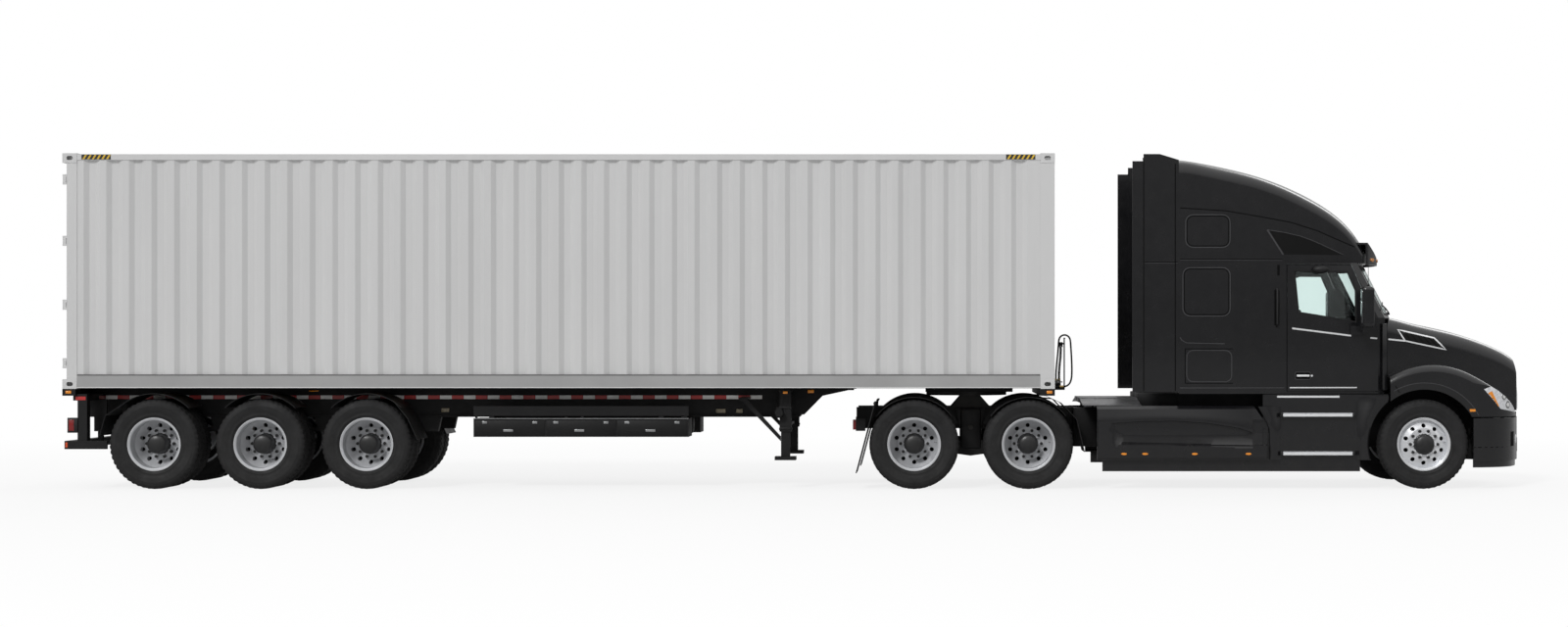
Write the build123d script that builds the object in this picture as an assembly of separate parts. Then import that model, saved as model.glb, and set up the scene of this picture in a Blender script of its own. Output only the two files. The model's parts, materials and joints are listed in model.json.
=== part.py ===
from build123d import *
import math
import os

# Container truck: a sleeper tractor, a tri-axle gooseneck chassis and a 40 ft high-cube container.
#
# Millimetres. +X points to the front of the truck, +Y to its left and +Z up. The origin lies on the
# ground below the middle of the truck. Places along the truck are given as distances ahead of the
# container's rear face, and x_at() turns such a distance into X.

# ---------------------------------------------------------------- overall
CONTAINER_LENGTH = 12192
CONTAINER_WIDTH = 2438
CONTAINER_HEIGHT = 2896
CONTAINER_BASE = 1235          # height of the corner castings' lower faces
KINGPIN_SETBACK = 1021         # behind the container's front face
TANDEM_SETBACK = 5.5           # the drive axles' middle, behind the kingpin
WHEELBASE = 5570.5             # from the drive axles' middle to the front axle
FRONT_OVERHANG = 1369          # from the front axle to the front of the bumper
HALF_WIDTH = CONTAINER_WIDTH / 2
CONTAINER_TOP = CONTAINER_BASE + CONTAINER_HEIGHT
COUPLING = CONTAINER_LENGTH - KINGPIN_SETBACK
TANDEM_MIDDLE = COUPLING - TANDEM_SETBACK
FRONT_AXLE = TANDEM_MIDDLE + WHEELBASE
NOSE = FRONT_AXLE + FRONT_OVERHANG
TOUCH_GAP = 0.3                # between curved faces that would touch
SHUT_GAP = 8                   # round doors and lids
HINGE_GAP = 0.5                # along a door's hinged edge
BEYOND = 20                    # how far a cutter passes what it cuts

# ---------------------------------------------------------------- wheels
TYRE_RADIUS = 552
TYRE_WIDTH = 279
TYRE_BULGE = 120               # from the bead to the widest place
BEAD_HALF = 105
SHOULDER_DROP = 45
SHOULDER_INSET = 40
BEAD_RADIUS = 311
RIM_WIDTH = 222
RIM_WALL = 12
FLANGE_RADIUS = 328
DISC_THICKNESS = 12
DISC_DISH = 75                 # how far a disc's outer edge lies behind its middle
DISC_FLAT = 200
STUD_CIRCLE = 285.75
STUD_COUNT = 10
NUT_RADIUS = 17
NUT_LENGTH = 28
HAND_HOLE_CIRCLE = 458
HAND_HOLE_RADIUS = 26
HUB_RADIUS = 116
HUB_CHAMFER = 20
SPINDLE_RADIUS = 42
DRUM_RADIUS = 200
DRUM_WALL = 16
DUAL_SPACING = 330
DRIVE_SPREAD = 1407
TRAILER_AXLE_REAR = 1119
TRAILER_AXLE_SPREAD = 1306
TRAILER_AXLES = tuple(TRAILER_AXLE_REAR + index * TRAILER_AXLE_SPREAD for index in range(3))
DRIVE_AXLES = (TANDEM_MIDDLE - DRIVE_SPREAD / 2, TANDEM_MIDDLE + DRIVE_SPREAD / 2)
DUAL_OUTER = HALF_WIDTH - TYRE_WIDTH / 2          # centre plane of an outer twin tyre
DUAL_INNER = DUAL_OUTER - DUAL_SPACING
DUAL_MIDDLE = (DUAL_OUTER + DUAL_INNER) / 2
AXLE_END = DUAL_INNER - 25                        # outer end of an axle's tube
FRONT_TRACK_HALF = 1041
FRONT_DISC = FRONT_TRACK_HALF + 96
KINGPIN_HALF = 876

# ---------------------------------------------------------------- coupling
FIFTH_WHEEL_TOP = 1183
FIFTH_WHEEL_RADIUS = 460
FIFTH_WHEEL_DEPTH = 45
COUPLER_PLATE = 45
KINGPIN_RADIUS = 25.4

# ---------------------------------------------------------------- tractor frame
RAIL_REAR = TANDEM_MIDDLE - 1434.5
RAIL_FRONT = NOSE - 505
RAIL_OUTER = 432
RAIL_TOP = 990
RAIL_DEPTH = 267
RAIL_FLANGE = 90
RAIL_WALL = 9
RAIL_BOTTOM = RAIL_TOP - RAIL_DEPTH
LAMP_DEPTH = 37
TAIL_LAMP_BOTTOM = 716
TAIL_LAMP_HEIGHT = 121
CROSSMEMBERS = (RAIL_REAR + 69, DRIVE_AXLES[0] + 288, DRIVE_AXLES[1] - 269, FRONT_AXLE - 4036,
                FRONT_AXLE - 2536, FRONT_AXLE - 1036)
TANK_RADIUS = 300
TANK_REAR = FRONT_AXLE - 3586
TANK_FRONT = FRONT_AXLE - 2036
TANK_HEIGHT = 650
TANK_OFFSET = 30

# ---------------------------------------------------------------- cab and sleeper
CAB_FLOOR = 1173
CAB_WALL = 55
SLEEPER_REAR = FRONT_AXLE - 3020
SLEEPER_FRONT = FRONT_AXLE - 2336                 # where the cab begins to narrow
SLEEPER_HALF = 1205
BELT = 2111                    # foot of the windscreen
BROW = 2790                    # head of the windscreen
COWL_DEPTH = 161
RAKE = 0.5055                  # the windscreen's rearward slope per unit of height
SCREEN_CORNER = FRONT_AXLE - 446
SCREEN_CORNER_HALF = 960
SCREEN_CENTRE = SCREEN_CORNER + 196
SCREEN_FRAME = 70
DOOR_REAR = FRONT_AXLE - 1684
DOOR_FRONT = FRONT_AXLE - 537
DOOR_REAR_HALF = 1120
DOOR_FRONT_HALF = 1020
DOOR_BOTTOM = 1195
DOOR_TOP = BROW - 20
PILLAR_FOOT = BELT - 181
GLASS_THICKNESS = 6
WINDOW_FRAME = 95              # from the door's rear edge to its window
LUGGAGE_REAR = SLEEPER_REAR + 74
LUGGAGE_FRONT = LUGGAGE_REAR + 590
LUGGAGE_BOTTOM = 1300
LUGGAGE_TOP = 1730
EXTENDER_LENGTH = 433
EXTENDER_STRIP = 137
EXTENDER_TOP = 4122
EXTENDER_BOTTOM = CAB_FLOOR + 25
EXTENDER_THICKNESS = 30
SUBFRAME_HALF = 560
VISOR_REACH = 198              # ahead of the windscreen's head
VISOR_SKIN = 25
VISOR_HALF = 870
# the roof's stations: place behind the front axle, half width, crown height, height at ROOF_EDGE
ROOF_EDGE = 900
ROOF_CORNER = 150
ROOF_FOOT = BROW - 400         # the stations' lower end, below what is kept of them
ROOF_STATIONS = (
    (3020, 1205, 4118, 4060),
    (2600, 1205, 4062, 3995),
    (2100, 1176, 3950, 3878),
    (1600, 1090, 3785, 3686),
    (1231, 993, 3608, 3482),
    (931, 914, 3408, 3240),
    (705, 870, 3177, 2905),
    (520, 850, 2870, 2560),
)
BROW_LEDGE = 45                # how far the roof's foot stands ahead of the windscreen's head
# the seam between the roof cap and the cab: places behind the front axle, heights
ROOF_SEAM = ((3036, 3461), (2443, 3424), (2004, 3352), (1625, 3286), (1288, 3188), (1023, 3079),
             (760, 2972), (760, BROW - 20), (300, BROW - 20))

# ---------------------------------------------------------------- hood and bumper
HOOD_REAR = FRONT_AXLE - 418
HOOD_BOTTOM = 890
HOOD_SKIN = 30
HOOD_CORNER = 190
HOOD_FALL = 30                 # the hood's crown, from its middle to its rounded corners
ARCH_RADIUS = 674
FENDER_HALF = 1205
FENDER_ROUNDING = 100
SIDE_TRIM = 1                  # the nose's plan takes this off the fenders' flat sides
BUMPER_REAR = FRONT_AXLE + 602
BUMPER_TOP = 873
BUMPER_BOTTOM = 345
BUMPER_SKIN = 40
LIP_BOTTOM = 267
LIP_INSET = 20
LIP_SKIN = 25
GRILLE_HALF = 430
GRILLE_BOTTOM = 1000
GRILLE_TOP = 1560
GRILLE_BARS = 9
GRILLE_BAR = 22
GRILLE_FRAME = 30
# a headlamp's side view: places ahead of the front axle, heights
LAMP_OUTLINE = ((734, 1230), (824, 1262), (990, 1192), (1254, 930), (964, 985))
LAMP_INNER = 520
HINGE_PLACE = NOSE - 65        # the hood's tilt axis
HINGE_HEIGHT = BUMPER_TOP + 42
HINGE_PIN = 12
HINGE_HALF = 300
HINGE_LUG = 28
NOSE_CUT = NOSE - 120          # ahead of this the hood ends higher, to clear the bumper as it tilts
NOSE_BOTTOM = BUMPER_TOP + 82
# the hood's stations: place ahead of the front axle, half width, crown height above the belt
HOOD_STATIONS = (
    (-418, 985, 36),
    (0, 905, -60),
    (400, 815, -146),
    (800, 725, -262),
    (1080, 650, -372),
    (1240, 600, -470),
    (1360, 580, -640),
)

# ---------------------------------------------------------------- side fairings and steps
FAIRING_REAR = FRONT_AXLE - 4025
FAIRING_FRONT = FRONT_AXLE - 1919
FAIRING_TOP = 1023
FAIRING_BOTTOM = 355
FAIRING_OUTER = 1205
FAIRING_SKIN = 25
STEP_INSET = 70                # the step panel, behind the tank fairing's outer face
SKIRT_BOTTOM = 218
SKIRT_THICKNESS = 16
SKIRT_FRONT = FRONT_AXLE - 781
FENDER_GAP = 22                # between the drive tyres and their fenders
FENDER_SKIN = 6
STEP_REAR = FRONT_AXLE - 1767
STEP_FRONT = FRONT_AXLE - 853
STEP_HEIGHTS = (418, 893)
STEP_THICKNESS = 45
STEP_DEPTH = 60
DECK_TOP = 1110
DECK_THICKNESS = 60
# the tank fairing's front view: places outboard of the middle plane, heights
FAIRING_PROFILE = ((1150, FAIRING_TOP), (1195, 985), (FAIRING_OUTER, 860), (1175, 815), (1160, 690),
                   (1170, 560), (FAIRING_OUTER, 535), (FAIRING_OUTER, 400), (1190, FAIRING_BOTTOM))
FLAP_THICKNESS = 12
FLAP_BOTTOM = 200

# ---------------------------------------------------------------- trailer chassis
BEAM_HALF = 520                # centre plane of a main beam
BEAM_FLANGE = 130
BEAM_WALL = 10
BEAM_BOTTOM = 871
BEAM_TOP = CONTAINER_BASE
BEAM_REAR = 60
BEAM_FRONT = COUPLING - 2145
BEAM_TIES = 7
NECK_FRONT = CONTAINER_LENGTH - 42
NECK_BOTTOM = FIFTH_WHEEL_TOP + COUPLER_PLATE
NECK_DEPTH = 108
NECK_FLANGE = 110
BOLSTER_DEPTH = 85
BOLSTER_LENGTH = 180
LANDING_GEAR = COUPLING - 2305
LEG_HALF = 900
LEG_WIDTH = 144
FOOT_BOTTOM = 348
BOX_REAR = TRAILER_AXLES[2] + 1279
BOX_FRONT = BOX_REAR + 2660
BOX_TOP = 862
BOX_BOTTOM = 636
REAR_BAR_BOTTOM = 493
REAR_BAR_DEPTH = 102
TRAILER_FENDER_RADIUS = 620
TRAILER_LAMP_REAR = 54
REAR_LEG_REAR = 174
REAR_LEG_FRONT = 290
REAR_BAR_FRONT = 540
SPRING_HALF = 560

# ---------------------------------------------------------------- hoses
HOSE_FOOT = CONTAINER_LENGTH + 58
COUPLING_TOP = 1290
HOSE_RADIUS = 11
HOSE_RETURN = 1242             # height of the loop's lower coupling
COIL_RADIUS = 20
CABLE_TOP = 1760
HOOK = 111                     # the hook's place ahead of the first coupling
HOOK_TOP = 1867

# ---------------------------------------------------------------- container
CASTING_LENGTH = 178
CASTING_WIDTH = 162
CASTING_HEIGHT = 118
CASTING_HOLE = 64              # width of a casting's holes
CASTING_WALL = 14
CASTING_SLOT = 124             # length of the hole in its top and bottom
POST_DEPTH = 54
TOP_RAIL = 70
RAIL_DROP = 12                 # from the castings' tops down to the top rails'
RAIL_LIFT = 13                 # from the castings' lower faces up to the bottom rails'
BOTTOM_RAIL = 160
CROSSMEMBER_DEPTH = 132
CROSSMEMBER_PITCH = 600
CORRUGATION_PITCH = 278
CORRUGATION_DEPTH = 36
END_PITCH = 250
ROOF_PITCH = 418
ROOF_WAVE = 18
ROOF_DROP = 14                 # from the castings' tops down to the roof sheet
DOOR_PITCH = 350
SHEET = 6
FLOOR_THICKNESS = 28
TUNNEL_LENGTH = 3200
TUNNEL_HEIGHT = 120
TUNNEL_HALF = 515
DOOR_HEAD = CONTAINER_TOP - 130
REAR_SILL = 6
SILL_FRONT = 120               # front face of the rear sill and the rear header
END_SILL = 80
DOOR_LEAF = 50
LEAF_OUTER = 45                # depth of the leaf's outer face behind the rear plane
LEAF_FRAME = 70
HINGE_INSET = 10               # the leaf's pin, ahead of the rear plane
HINGE_HEIGHTS = (CONTAINER_BASE + 315, CONTAINER_BASE + 1034, CONTAINER_BASE + 1819, CONTAINER_BASE + 2574)
HINGE_BLADE = 70
LEAF_PIN = 6
REAR_POST = 52                 # rear face of the rear posts, behind which the hinge blades lie
LOCK_ROD_RADIUS = 17
LOCK_RODS = (330, 780)         # from the truck's middle plane
HANDLE_HEIGHT = 1060
LOCK_HEIGHTS = (60, 700, 1300, 1900)              # of the rods' brackets, above the leaf's bottom

X_ORIGIN = NOSE / 2


def x_at(distance):
    """X of a place that lies this far ahead of the container's rear face."""
    return distance - X_ORIGIN


def block(x0, x1, y0, y1, z0, z1):
    """A box between two corners, x0 and x1 measured ahead of the container's rear face."""
    centre = Pos(x_at((x0 + x1) / 2), (y0 + y1) / 2, (z0 + z1) / 2)
    return centre * Box(abs(x1 - x0), abs(y1 - y0), abs(z1 - z0))


def side_plate(points, y0, y1):
    """A side-view outline of (distance, height) points, filled between two planes of Y."""
    outline = Polyline(*[(x_at(x), y0, z) for x, z in points], close=True)
    return extrude(make_face(outline), amount=abs(y1 - y0), dir=(0, math.copysign(1, y1 - y0), 0))


def plan_plate(points, z0, z1):
    """A plan outline of (distance, y) points, filled between two heights."""
    outline = Polyline(*[(x_at(x), y, z0) for x, y in points], close=True)
    return extrude(make_face(outline), amount=z1 - z0, dir=(0, 0, 1))


def front_plate(points, x0, x1):
    """A front-view outline of (y, z) points, filled between two distances."""
    outline = Polyline(*[(x_at(x0), y, z) for y, z in points], close=True)
    return extrude(make_face(outline), amount=x1 - x0, dir=(1, 0, 0))


def rod_y(x, z, radius, y0, y1):
    """A round bar along Y."""
    return Pos(x_at(x), (y0 + y1) / 2, z) * Rot(90, 0, 0) * Cylinder(radius, abs(y1 - y0))


def rod_x(x0, x1, y, z, radius):
    """A round bar along X."""
    return Pos(x_at((x0 + x1) / 2), y, z) * Rot(0, 90, 0) * Cylinder(radius, abs(x1 - x0))


def rod_z(x, y, radius, z0, z1):
    """An upright round bar."""
    return Pos(x_at(x), y, (z0 + z1) / 2) * Cylinder(radius, abs(z1 - z0))


def turned(profile, x, z):
    """A body turned about a line along Y from a closed profile of (radius, y) points."""
    face = make_face(Polyline(*[(radius, y, 0) for radius, y in profile], close=True))
    return Pos(x_at(x), 0, z) * revolve(face, axis=Axis.Y, revolution_arc=360)


def strip(points, thickness):
    """The side-view outline of a bent sheet whose outer line runs through some points."""
    inner = []
    for index, (x, z) in enumerate(points):
        before = points[max(index - 1, 0)]
        after = points[min(index + 1, len(points) - 1)]
        run, rise = after[0] - before[0], after[1] - before[1]
        scale = thickness / math.hypot(run, rise)
        inner.append((x + scale * rise, z - scale * run))
    return list(points) + inner[::-1]


def left_of(shape):
    """The same shape on the truck's left side, for one made on its right side."""
    return mirror(shape, about=Plane.XZ)


def mirrored(shape):
    """A shape made on the right side, and its twin on the left."""
    return [shape, left_of(shape)]


def whole(result):
    """One compound from whatever a boolean operation gives."""
    pieces = result if isinstance(result, (list, tuple)) else [result]
    return Compound([solid for piece in pieces for solid in piece.solids()])


def fused(shapes):
    """One shape from several that touch or overlap."""
    return whole(shapes[0].fuse(*shapes[1:])) if len(shapes) > 1 else shapes[0]


def cut(shape, *tools):
    """A shape with others taken out of it."""
    return whole(shape.cut(*tools))


def common(shape, other):
    """What two shapes share."""
    return whole(shape.intersect(other))


def places(start, end, pitch):
    """Places from start, a pitch apart, that stay before end."""
    return [start + index * pitch for index in range(math.ceil((end - start) / pitch))]


def keep(name, *shapes):
    """Write one node from the solids of some shapes."""
    solids = [solid for shape in shapes for solid in shape.solids()]
    export_step(Compound(solids), "parts/" + name + ".step")


# ================================================================ wheels
def tyre(x, middle):
    """One tyre on the right side, its centre plane at y = -middle."""
    half = TYRE_WIDTH / 2
    bead = BEAD_RADIUS - 1
    right = [
        (bead, BEAD_HALF),
        (bead + TYRE_BULGE, half),
        (TYRE_RADIUS - SHOULDER_DROP, half - SHOULDER_INSET / 5),
        (TYRE_RADIUS, half - SHOULDER_INSET),
    ]
    profile = [(radius, -middle - y) for radius, y in right]
    profile += [(radius, -middle + y) for radius, y in reversed(right)]
    return turned(profile, x, TYRE_RADIUS)


def rim_profile(middle, disc_at, inward):
    """A wheel's rim and disc as a (radius, y) profile; inward is +1 when the disc lies towards +Y."""
    outer = BEAD_RADIUS - 1 - TOUCH_GAP
    inner = outer - RIM_WALL
    lip = FLANGE_RADIUS - 6
    half = RIM_WIDTH / 2
    near = -middle - inward * half
    far = -middle + inward * half
    thick = DISC_THICKNESS * inward
    dish = DISC_DISH * inward
    return (
        (SPINDLE_RADIUS + 30, disc_at),
        (DISC_FLAT, disc_at),
        (inner, disc_at - dish),
        (inner, near + inward * 8),
        (lip, near - inward * 8),
        (FLANGE_RADIUS, near - inward * 8),
        (FLANGE_RADIUS, near - inward * 2),
        (outer, near - inward * 2),
        (outer, far + inward * 2),
        (FLANGE_RADIUS, far + inward * 2),
        (FLANGE_RADIUS, far + inward * 8),
        (lip, far + inward * 8),
        (inner, far - inward * 8),
        (inner, disc_at - dish + 2 * thick),
        (DISC_FLAT, disc_at + thick),
        (SPINDLE_RADIUS + 30, disc_at + thick),
    )


def around(circle, count, shape, phase=0):
    """Copies of a shape that lies on a wheel's axis, set on a circle about it."""
    copies = []
    for index in range(count):
        angle = math.radians(phase + 360 * index / count)
        copies.append(Pos(circle / 2 * math.cos(angle), 0, circle / 2 * math.sin(angle)) * shape)
    return copies


def wheel_dressing(x, disc_face):
    """Hand holes and nuts for a disc whose outer face is at y = disc_face."""
    reach = DISC_DISH + BEYOND
    hole = rod_y(x, TYRE_RADIUS, HAND_HOLE_RADIUS, disc_face - reach, disc_face + reach)
    nut = rod_y(x, TYRE_RADIUS, NUT_RADIUS, disc_face + DISC_THICKNESS / 3, disc_face - NUT_LENGTH)
    holes = around(HAND_HOLE_CIRCLE, STUD_COUNT, hole, 180 / STUD_COUNT)
    return holes, around(STUD_CIRCLE, STUD_COUNT, nut)


def hub_and_drum(x, face, cap_end, drum_start):
    """A hub with its brake drum, bored for the spindle, between y = cap_end and y = drum_start."""
    bore = SPINDLE_RADIUS + TOUCH_GAP
    drum_end = face + 30
    profile = (
        (0, cap_end),
        (HUB_RADIUS - HUB_CHAMFER, cap_end),
        (HUB_RADIUS, cap_end + HUB_CHAMFER),
        (HUB_RADIUS, drum_end),
        (DRUM_RADIUS, drum_end),
        (DRUM_RADIUS, drum_start),
        (DRUM_RADIUS - DRUM_WALL, drum_start),
        (DRUM_RADIUS - DRUM_WALL, drum_end + DRUM_WALL),
        (HUB_RADIUS - 30, drum_end + DRUM_WALL),
        (HUB_RADIUS - 30, drum_start - 10),
        (bore, drum_start - 10),
        (bore, cap_end + 60),
        (0, cap_end + 60),
    )
    return turned(profile, x, TYRE_RADIUS)


def dual_wheel(x):
    """The tyres and the wheels of one twin set on the right side."""
    outer_rim = turned(rim_profile(DUAL_OUTER, -DUAL_MIDDLE - DISC_THICKNESS, 1), x, TYRE_RADIUS)
    inner_rim = turned(rim_profile(DUAL_INNER, -DUAL_MIDDLE + DISC_THICKNESS, -1), x, TYRE_RADIUS)
    holes, nuts = wheel_dressing(x, -DUAL_MIDDLE - DISC_THICKNESS)
    hub = hub_and_drum(x, -DUAL_MIDDLE, -DUAL_OUTER - 30, -DUAL_INNER + 10)
    rims = cut(fused([outer_rim, inner_rim, hub]), *holes)
    tyres = [tyre(x, DUAL_OUTER), tyre(x, DUAL_INNER)]
    return tyres, [fused([rims] + nuts)]


def front_wheel(x):
    """The tyre and the wheel of the steered axle on the right side."""
    rim = turned(rim_profile(FRONT_TRACK_HALF, -FRONT_DISC, -1), x, TYRE_RADIUS)
    holes, nuts = wheel_dressing(x, -FRONT_DISC - DISC_THICKNESS)
    hub = hub_and_drum(x, -FRONT_DISC, -FRONT_DISC - 70, -FRONT_TRACK_HALF + 95)
    return [tyre(x, FRONT_TRACK_HALF)], [fused([cut(fused([rim, hub]), *holes)] + nuts)]


def save_wheels():
    """Tyres and wheels of every wheel end, right and left."""
    sets = [("front", FRONT_AXLE, front_wheel)]
    sets += [("drive" + str(i + 1), x, dual_wheel) for i, x in enumerate(DRIVE_AXLES)]
    sets += [("trailer" + str(i + 1), x, dual_wheel) for i, x in enumerate(TRAILER_AXLES)]
    for name, x, maker in sets:
        tyres, rims = maker(x)
        keep("tyre_" + name + "_r", *tyres)
        keep("rim_" + name + "_r", *rims)
        keep("tyre_" + name + "_l", *[left_of(piece) for piece in tyres])
        keep("rim_" + name + "_l", *[left_of(piece) for piece in rims])


# ================================================================ tractor running gear
def channel(x0, x1, outer, z0, z1, flange, wall):
    """A frame channel on the right side, its web outboard."""
    web = block(x0, x1, -outer, -outer + wall, z0, z1)
    low = block(x0, x1, -outer, -outer + flange, z0, z0 + wall)
    top = block(x0, x1, -outer, -outer + flange, z1 - wall, z1)
    return fused([web, low, top])


def tractor_frame():
    """Rails, crossmembers, the cab's subframe and the fuel tanks in their brackets."""
    pieces = mirrored(channel(RAIL_REAR, RAIL_FRONT, RAIL_OUTER, RAIL_BOTTOM, RAIL_TOP,
                              RAIL_FLANGE, RAIL_WALL))
    inner = RAIL_OUTER - RAIL_WALL
    for x in CROSSMEMBERS:
        pieces.append(block(x, x + 90, -inner, inner, RAIL_BOTTOM + 40, RAIL_TOP - 40))
    sub_rear = SLEEPER_REAR + 20
    sub_front = SCREEN_CORNER - 60
    pieces += mirrored(block(sub_rear, sub_front, -SUBFRAME_HALF, -SUBFRAME_HALF + 50,
                             RAIL_TOP - 5, CAB_FLOOR))
    for x in (sub_rear, (sub_rear + sub_front) / 2, sub_front - 100):
        pieces.append(block(x, x + 100, -SUBFRAME_HALF, SUBFRAME_HALF, RAIL_TOP - 5, RAIL_TOP + 60))
    low, high = TAIL_LAMP_BOTTOM - 16, TAIL_LAMP_BOTTOM + TAIL_LAMP_HEIGHT + 16
    tail = fused([block(RAIL_REAR, RAIL_REAR + 20, -720, -inner, low, high),
                  block(RAIL_REAR, RAIL_REAR + 120, -720, -700, low, high)])
    pieces += mirrored(tail)
    tank_half = RAIL_OUTER + TANK_OFFSET + TANK_RADIUS
    pieces += mirrored(rod_x(TANK_REAR, TANK_FRONT, -tank_half, TANK_HEIGHT, TANK_RADIUS))
    for x in (TANK_REAR + 200, TANK_FRONT - 260):
        pieces += mirrored(block(x, x + 60, -tank_half, -RAIL_OUTER, TANK_HEIGHT, RAIL_TOP))
    return fused(pieces)


def drive_axle(x):
    """A drive axle: housing with its differential, and spindles."""
    bowl = Pos(x_at(x), 0, TYRE_RADIUS) * Sphere(210)
    pieces = [rod_y(x, TYRE_RADIUS, 75, -AXLE_END, AXLE_END), bowl]
    pieces += mirrored(rod_y(x, TYRE_RADIUS, SPINDLE_RADIUS, -DUAL_OUTER + 45, -AXLE_END))
    return pieces


def front_beam():
    """The steered axle's dropped beam with its kingpins, on leaf springs."""
    beam_end = KINGPIN_HALF - 40
    seat = RAIL_OUTER + 68
    deep = TYRE_RADIUS - 110
    pieces = [front_plate([(-beam_end, TYRE_RADIUS + 50), (beam_end, TYRE_RADIUS + 50),
                           (beam_end, TYRE_RADIUS - 50), (seat + 120, TYRE_RADIUS - 50), (seat, deep),
                           (-seat, deep), (-seat - 120, TYRE_RADIUS - 50), (-beam_end, TYRE_RADIUS - 50)],
                          FRONT_AXLE - 45, FRONT_AXLE + 45)]
    for side in (-1, 1):
        pin = side * KINGPIN_HALF
        pieces.append(rod_z(FRONT_AXLE, pin, 38, TYRE_RADIUS - 125, TYRE_RADIUS + 125))
        pieces.append(rod_z(FRONT_AXLE, pin, 50, TYRE_RADIUS - 60, TYRE_RADIUS + 60))
    end = RAIL_BOTTOM - 33
    spring = side_plate([(FRONT_AXLE - 620, end), (FRONT_AXLE, TYRE_RADIUS + 50), (FRONT_AXLE + 620, end),
                         (FRONT_AXLE + 620, RAIL_BOTTOM), (FRONT_AXLE + 580, RAIL_BOTTOM),
                         (FRONT_AXLE, TYRE_RADIUS + 103), (FRONT_AXLE - 580, RAIL_BOTTOM),
                         (FRONT_AXLE - 620, RAIL_BOTTOM)], -RAIL_OUTER + 5, -RAIL_OUTER + 80)
    return fused(pieces + mirrored(spring))


def drive_bogie():
    """The two drive axles on their walking beams and saddles."""
    rear, front = DRIVE_AXLES
    pieces = drive_axle(rear) + drive_axle(front)
    beam = side_plate([(rear - 90, TYRE_RADIUS - 60), (TANDEM_MIDDLE, TYRE_RADIUS - 170),
                       (front + 90, TYRE_RADIUS - 60), (front + 90, TYRE_RADIUS + 40),
                       (TANDEM_MIDDLE, TYRE_RADIUS + 10), (rear - 90, TYRE_RADIUS + 40)],
                      -RAIL_OUTER - 95, -RAIL_OUTER - 5)
    saddle = side_plate([(TANDEM_MIDDLE - 180, RAIL_TOP - 20), (TANDEM_MIDDLE + 180, RAIL_TOP - 20),
                         (TANDEM_MIDDLE + 90, TYRE_RADIUS - 60), (TANDEM_MIDDLE - 90, TYRE_RADIUS - 60)],
                        -RAIL_OUTER - 85, -RAIL_OUTER)
    pieces += mirrored(beam) + mirrored(saddle)
    for x in DRIVE_AXLES:
        pieces += mirrored(rod_z(x, -RAIL_OUTER + 60, 60, TYRE_RADIUS + 40, RAIL_BOTTOM))
    return fused(pieces)


def engine():
    """The engine and gearbox as one block, on feet that stand on the rails."""
    rear = HOOD_REAR + 42
    front = RAIL_FRONT - 100
    feet = []
    for x in (rear + 140, front - 300):
        feet += mirrored(block(x, x + 150, -RAIL_OUTER + 20, -300, RAIL_TOP, RAIL_TOP + 40))
    return fused([block(rear, front, -320, 320, RAIL_BOTTOM - 83, BELT - 411)] + feet)


def fifth_wheel():
    """The coupling plate with its throat, on its mounting brackets."""
    low = FIFTH_WHEEL_TOP - FIFTH_WHEEL_DEPTH
    plate = rod_z(COUPLING, 0, FIFTH_WHEEL_RADIUS, low, FIFTH_WHEEL_TOP)
    tail = plan_plate([(COUPLING - 560, -360), (COUPLING - 200, -420), (COUPLING - 200, 420),
                       (COUPLING - 560, 360)], low, FIFTH_WHEEL_TOP)
    play = KINGPIN_RADIUS + 2
    throat = plan_plate([(COUPLING - 600, -150), (COUPLING, -play), (COUPLING, play), (COUPLING - 600, 150)],
                        low - 1, FIFTH_WHEEL_TOP + 1)
    eye = rod_z(COUPLING, 0, play, low - 1, FIFTH_WHEEL_TOP + 1)
    pieces = [cut(fused([plate, tail]), throat, eye)]
    pieces += mirrored(side_plate([(COUPLING - 120, low), (COUPLING + 120, low),
                                   (COUPLING + 250, RAIL_TOP), (COUPLING - 250, RAIL_TOP)],
                                  -RAIL_OUTER + 10, -RAIL_OUTER + 60))
    return fused(pieces)


def knuckle_r():
    """The right steering knuckle: yoke round the kingpin, spindle and steering arm."""
    y = -KINGPIN_HALF
    yoke = block(FRONT_AXLE - 60, FRONT_AXLE + 60, y - 68, y + 60, TYRE_RADIUS - 120, TYRE_RADIUS + 120)
    slot = block(FRONT_AXLE - 61, FRONT_AXLE + 61, y - 54, y + 61, TYRE_RADIUS - 66, TYRE_RADIUS + 66)
    pin_hole = rod_z(FRONT_AXLE, y, 38 + TOUCH_GAP, TYRE_RADIUS - 126, TYRE_RADIUS + 126)
    spindle = rod_y(FRONT_AXLE, TYRE_RADIUS, SPINDLE_RADIUS, -FRONT_TRACK_HALF - 70, y - 56)
    arm = block(FRONT_AXLE - 260, FRONT_AXLE - 40, y - 20, y + 30, TYRE_RADIUS - 118, TYRE_RADIUS - 80)
    return cut(fused([cut(yoke, slot), spindle, arm]), pin_hole)


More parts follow.
